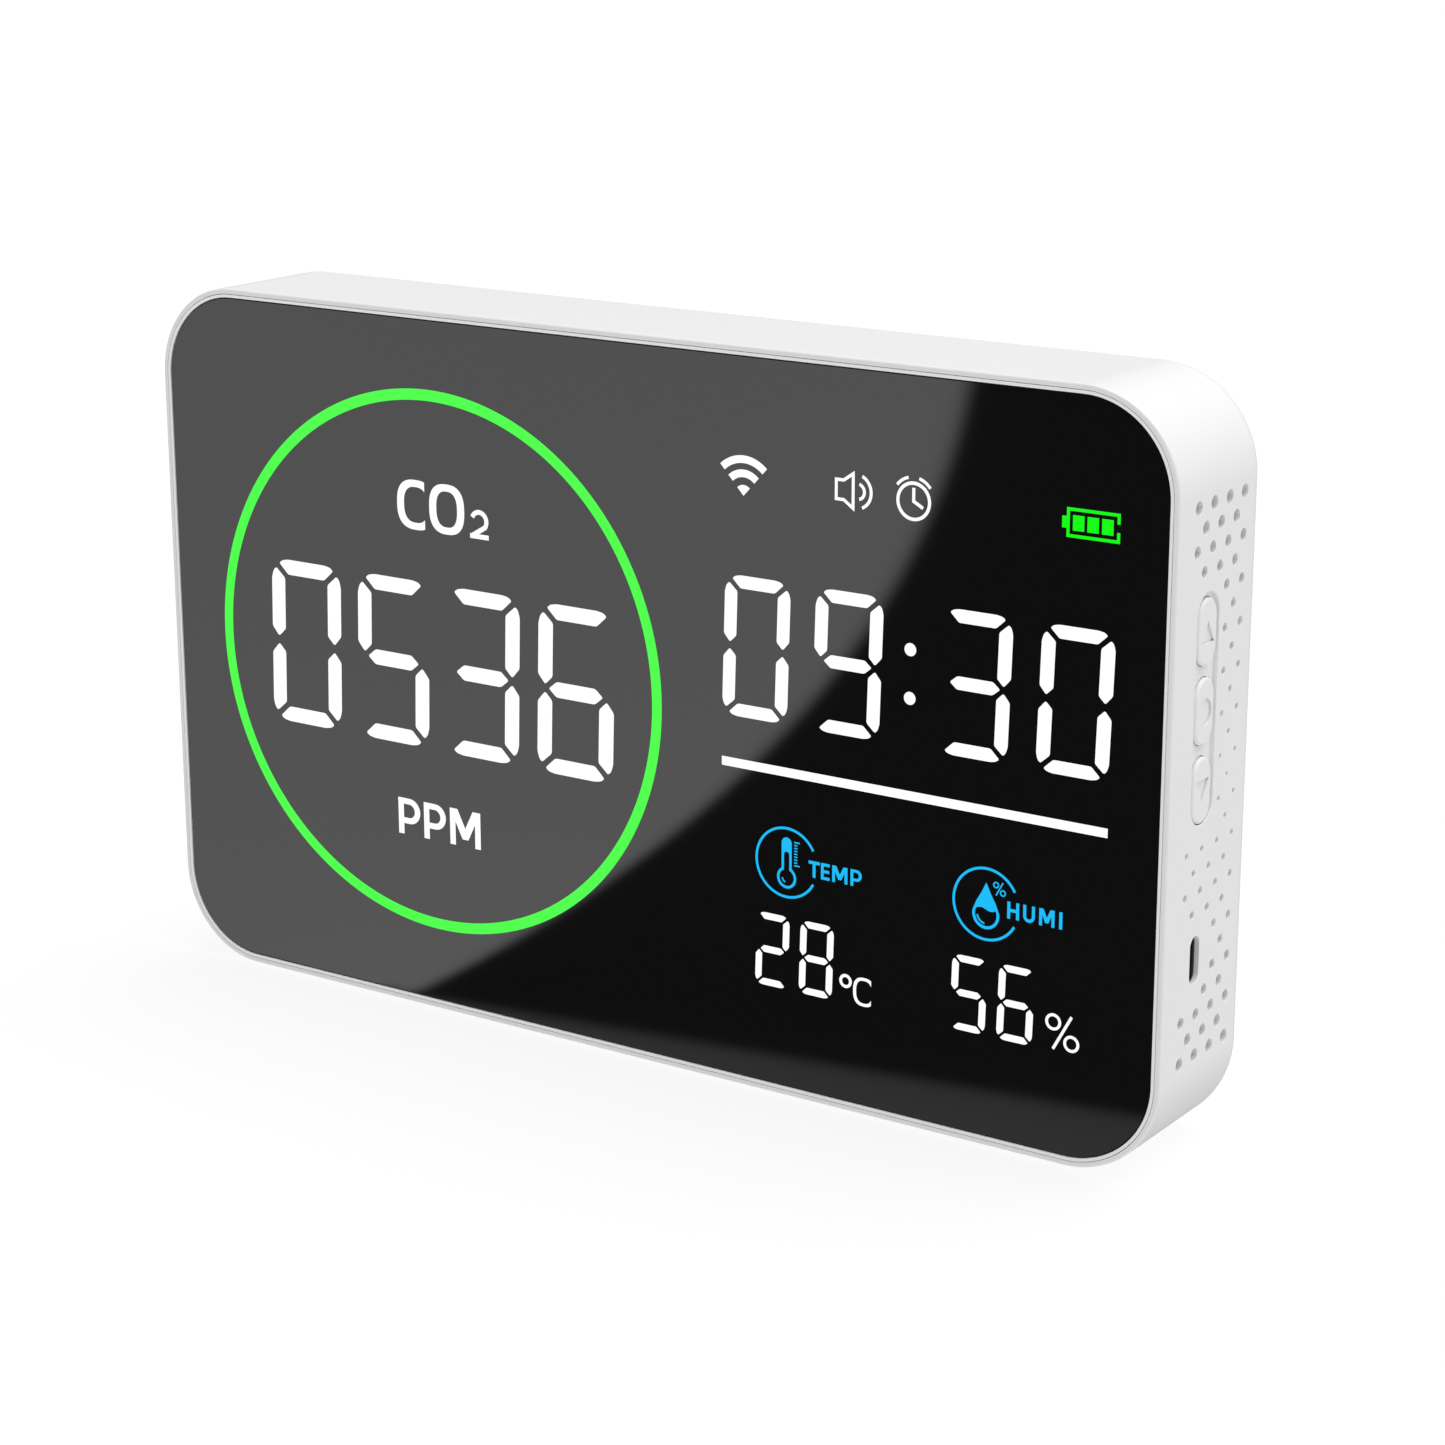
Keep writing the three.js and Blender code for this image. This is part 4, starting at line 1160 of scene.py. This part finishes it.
def drop_outline(x, z, radius, apex):
    """A round drop, x and z at the middle of its round part, with its apex above that."""
    side = [(0, 1), (0.08, 0.93), (0.34, 0.68), (0.72, 0.38)]
    left = [(x - u * radius, z + v * apex) for u, v in side]
    right = [(x + u * radius, z + v * apex) for u, v in reversed(side[1:])]
    return left + arc(x, z, radius, 172, 368, 30) + right


def make_humidity_symbol():
    x, z = 75.8, SYMBOL_Z
    centre, radius, wall = z - 1.85, 2.66, 0.52
    outer = drop_outline(x, centre, radius, 5.7)
    inner = arc(x, centre, radius - wall, 155, 385, 24)
    right, left = inner[-1][0], inner[0][0]
    for i in range(1, 12):
        t = i / 12
        inner.append((right + (left - right) * t, centre + 0.9 - 0.28 * math.sin(2 * math.pi * t)))
    glint = band(x, centre, 1.7, 0.3, 190, 262, 10)
    shapes = [symbol_ring(x), [outer, inner], glint]
    shapes += percent(x + 2.6, z + 3.15, size=2.45, line=0.24)
    lit_plate("humidity_symbol", shapes, LIT_BLUE)
    letters = [
        letter_h(80.0, width=2.3, line=0.57, **LABEL),
        letter_u(83.1, width=2.25, line=0.56, **LABEL),
        letter_m(86.2, width=2.95, line=0.57, **LABEL),
        upright_bar(90.05, width=0.6, **LABEL),
    ]
    lit_plate("humidity_label", letters, LIT_BLUE)


# -------- carried-over pieces

CARRIED = {
    TAPE: ["glass_tape"],
    LIT_WHITE: ["diffuser_film"],
    LIT_BLUE: ["icon_filter"],
    LIT_GREEN: ["ring_light_guide"],
    MASK: ["light_mask"],
    DUST_MESH: ["vent_mesh"],
    MEMBRANE: ["co2_filter_1", "co2_filter_2"],
    GOLD: ["co2_gas_cell"],
    CELL: ["battery_cell"],
    LEAD: ["battery_lead"],
    NYLON: ["battery_socket", "battery_plug", "humidity_sensor"],
    BOARD: ["main_board", "co2_sensor_board", "wifi_board"],
    CHIP: ["co2_header", "processor_chip", "display_driver_1", "display_driver_2", "buzzer"],
    STEEL: ["wifi_shield"],
}
for key in ("up", "select", "down"):
    CARRIED[CHIP].append(f"{key}_switch_housing")
    CARRIED[NYLON].append(f"{key}_switch_plunger")
for number in range(1, 5):
    CARRIED[STEEL] += [f"case_screw_{number}", f"board_screw_{number}"]


def finish_carried():
    for material, nodes in CARRIED.items():
        for node in nodes:
            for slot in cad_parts[node].material_slots:
                slot.material = material


# -------- stage, light and camera

# The camera's distance and aim are shares of the case's width.
AIM_RIGHT_OF_MIDDLE = 0.09688
CAMERA_DISTANCE = 2.75694
CAMERA_AZIMUTH = 34.26
CAMERA_ELEVATION = 15.80
CAMERA_ROLL = -0.11
CAMERA_LENS = 84.94

FLOOR_REACH = 12
FLOOR_GAP = 0.0002
FLOOR_GLOW = 0.845
SKY_LIGHT = 0.44
SKY_IN_REFLECTIONS = 0.032
SKY_SEEN = 1.0
SUN_STRENGTH = 2.65
SUN_SPREAD = 60
SUN_DIRECTION = (0.25, 0.2, 1.0)
WINDOW_GLOW = 1.88
FOOT_GLOW = 0.55

# How far outside the window card's edge line, in millimetres, its glow has what share.
WINDOW_EDGE = ((3.0, 0), (1.8, 0.08), (0.9, 0.28), (0, 0.55), (-0.9, 0.8), (-2, 0.95), (-3.5, 1))
WINDOW_FAR_SIDE = (-130, 0.84)

# That line runs from this place above the glass's middle to as far below it, moving to the left
# by an even part and by a part that grows.
WINDOW_TOP = (71, 70)
WINDOW_LEAN = 20
WINDOW_CURVE = 109

# How far above the foot card's edge line its glow has what share.
FOOT_EDGE = ((1.2, 0), (-1.4, 0.95), (-12, 1.2))
FOOT_LINE_Z = -63
FOOT_LINE_SLOPE = 0.068

# The cards' distance from the mirrored camera, as a multiple of the glass's.
CARD_DISTANCE = 2.0

WHITE = (1, 1, 1, 1)


def make_camera():
    camera = bpy.data.objects.new("camera", bpy.data.cameras.new("camera"))
    bpy.context.scene.collection.objects.link(camera)
    unit = CASE_WIDTH * MM
    azimuth, elevation = math.radians(CAMERA_AZIMUTH), math.radians(CAMERA_ELEVATION)
    towards = Vector((
        math.sin(azimuth) * math.cos(elevation),
        -math.cos(azimuth) * math.cos(elevation),
        math.sin(elevation),
    ))
    aim = GLASS_MIDDLE + Vector((AIM_RIGHT_OF_MIDDLE * unit, 0, 0))
    camera.location = aim + towards * CAMERA_DISTANCE * unit
    turn = (-towards).to_track_quat("-Z", "Y").to_matrix().to_4x4()
    roll = Matrix.Rotation(math.radians(CAMERA_ROLL), 4, "Z")
    camera.rotation_euler = (turn @ roll).to_euler()
    camera.data.lens = CAMERA_LENS
    camera.data.sensor_width = 36
    camera.data.clip_start = 0.01
    camera.data.clip_end = 50
    bpy.context.scene.camera = camera
    return camera


def make_floor():
    """A pale floor that glows a little itself, so that it meets the background without a line."""
    reach, z = FLOOR_REACH, case_low.z - FLOOR_GAP
    corners = ((-reach, -reach, z), (reach, -reach, z), (reach, reach, z), (-reach, reach, z))
    bm = bmesh.new()
    bm.faces.new([bm.verts.new(corner) for corner in corners])
    floor = finish_mesh(bm, "floor")
    material, _, shader = new_material("pale_floor", (0.15, 0.15, 0.15), 0.9)
    set_inputs(shader, {
        "Specular IOR Level": 0.1,
        "Emission Color": WHITE,
        "Emission Strength": FLOOR_GLOW,
    })
    floor.data.materials.append(material)
    floor.visible_glossy = False


def studio_glow():
    """Light whose strength is stored at the points of a card."""
    material = bpy.data.materials.new("studio_glow")
    material.use_nodes = True
    nodes, links = material.node_tree.nodes, material.node_tree.links
    nodes.clear()
    output = nodes.new("ShaderNodeOutputMaterial")
    emission = nodes.new("ShaderNodeEmission")
    stored = nodes.new("ShaderNodeAttribute")
    stored.attribute_name = "glow"
    links.new(stored.outputs["Fac"], emission.inputs["Strength"])
    links.new(emission.outputs["Emission"], output.inputs["Surface"])
    return material


def make_card(name, camera, rows, strength, material):
    """A studio card seen only as a reflection in the glass.

    Each row is a line of points on the glass, in millimetres from its middle, with the share of
    the glow there. The card stands where the camera sees it mirrored at those points.
    """
    mirrored = camera.location.copy()
    mirrored.y = 2 * GLASS_FRONT * MM - camera.location.y
    bm = bmesh.new()
    glow = bm.verts.layers.float.new("glow")
    loops = []
    for points, share in rows:
        loop = []
        for x, z in points:
            on_glass = GLASS_MIDDLE + Vector((x * MM, 0, z * MM))
            vertex = bm.verts.new(mirrored + (on_glass - mirrored) * CARD_DISTANCE)
            vertex[glow] = share * strength
            loop.append(vertex)
        loops.append(loop)
    for first, second in zip(loops, loops[1:]):
        for i in range(len(first) - 1):
            bm.faces.new((first[i], first[i + 1], second[i + 1], second[i]))
    card = link_mesh(bm, name)
    card.data.materials.append(material)
    card.visible_camera = False
    card.visible_diffuse = False
    card.visible_shadow = False
    card.visible_transmission = False


def window_edge_point(t):
    """A point of the window's mirrored edge, from its top (0) to its bottom (1)."""
    x, z = WINDOW_TOP
    return x - WINDOW_LEAN * t - WINDOW_CURVE * t ** 2, z - 2 * z * t


def make_cards(camera):
    """A tall bright card whose curved edge crosses the glass, and a dimmer one along its foot."""
    material = studio_glow()
    edge_line = [window_edge_point(i / 32) for i in range(33)]
    rows = [([(x + shift, z) for x, z in edge_line], share) for shift, share in WINDOW_EDGE]
    far_x, far_share = WINDOW_FAR_SIDE
    rows.append(([(far_x, z) for x, z in edge_line], far_share))
    make_card("window_card", camera, rows, WINDOW_GLOW, material)
    foot_line = [(x, FOOT_LINE_Z + FOOT_LINE_SLOPE * x) for x in range(-60, 121, 20)]
    foot_rows = [([(x, z + lift) for x, z in foot_line], share) for lift, share in FOOT_EDGE]
    make_card("foot_card", camera, foot_rows, FOOT_GLOW, material)


def sky_shader(nodes, strength):
    sky = nodes.new("ShaderNodeBackground")
    set_inputs(sky, {"Color": WHITE, "Strength": strength})
    return sky.outputs["Background"]


def choose_shader(nodes, links, choice, otherwise, chosen):
    mix = nodes.new("ShaderNodeMixShader")
    links.new(choice, mix.inputs["Fac"])
    links.new(otherwise, mix.inputs[1])
    links.new(chosen, mix.inputs[2])
    return mix.outputs["Shader"]


def make_world():
    """A white studio that the camera sees as white, and that reflections see as nearly dark."""
    world = bpy.data.worlds.new("studio")
    bpy.context.scene.world = world
    world.use_nodes = True
    nodes, links = world.node_tree.nodes, world.node_tree.links
    nodes.clear()
    output = nodes.new("ShaderNodeOutputWorld")
    path = nodes.new("ShaderNodeLightPath").outputs
    light, dark = sky_shader(nodes, SKY_LIGHT), sky_shader(nodes, SKY_IN_REFLECTIONS)
    lighting = choose_shader(nodes, links, path["Is Glossy Ray"], light, dark)
    seen = sky_shader(nodes, SKY_SEEN)
    whole = choose_shader(nodes, links, path["Is Camera Ray"], lighting, seen)
    links.new(whole, output.inputs["Surface"])


def make_sun():
    """A wide soft lamp overhead, a little to the right."""
    sun = bpy.data.lights.new("overhead", "SUN")
    sun.energy = SUN_STRENGTH
    sun.angle = math.radians(SUN_SPREAD)
    lamp = bpy.data.objects.new("overhead", sun)
    lamp.rotation_euler = Vector(SUN_DIRECTION).to_track_quat("Z", "Y").to_euler()
    bpy.context.scene.collection.objects.link(lamp)


# -------- build

camera = make_camera()
make_shell()
make_frame()
make_glass()
for button_name, mark_direction in MARK_DIRECTIONS.items():
    make_button(button_name, mark_direction)
make_socket()
make_level_ring()
make_readings()
make_gas_label()
make_unit_label()
make_small_units()
make_wireless_symbol()
make_sound_symbol()
make_alarm_symbol()
make_battery_symbol()
make_temperature_symbol()
make_humidity_symbol()
finish_carried()
make_floor()
make_cards(camera)
make_world()
make_sun()
bpy.context.scene.view_settings.view_transform = "Standard"
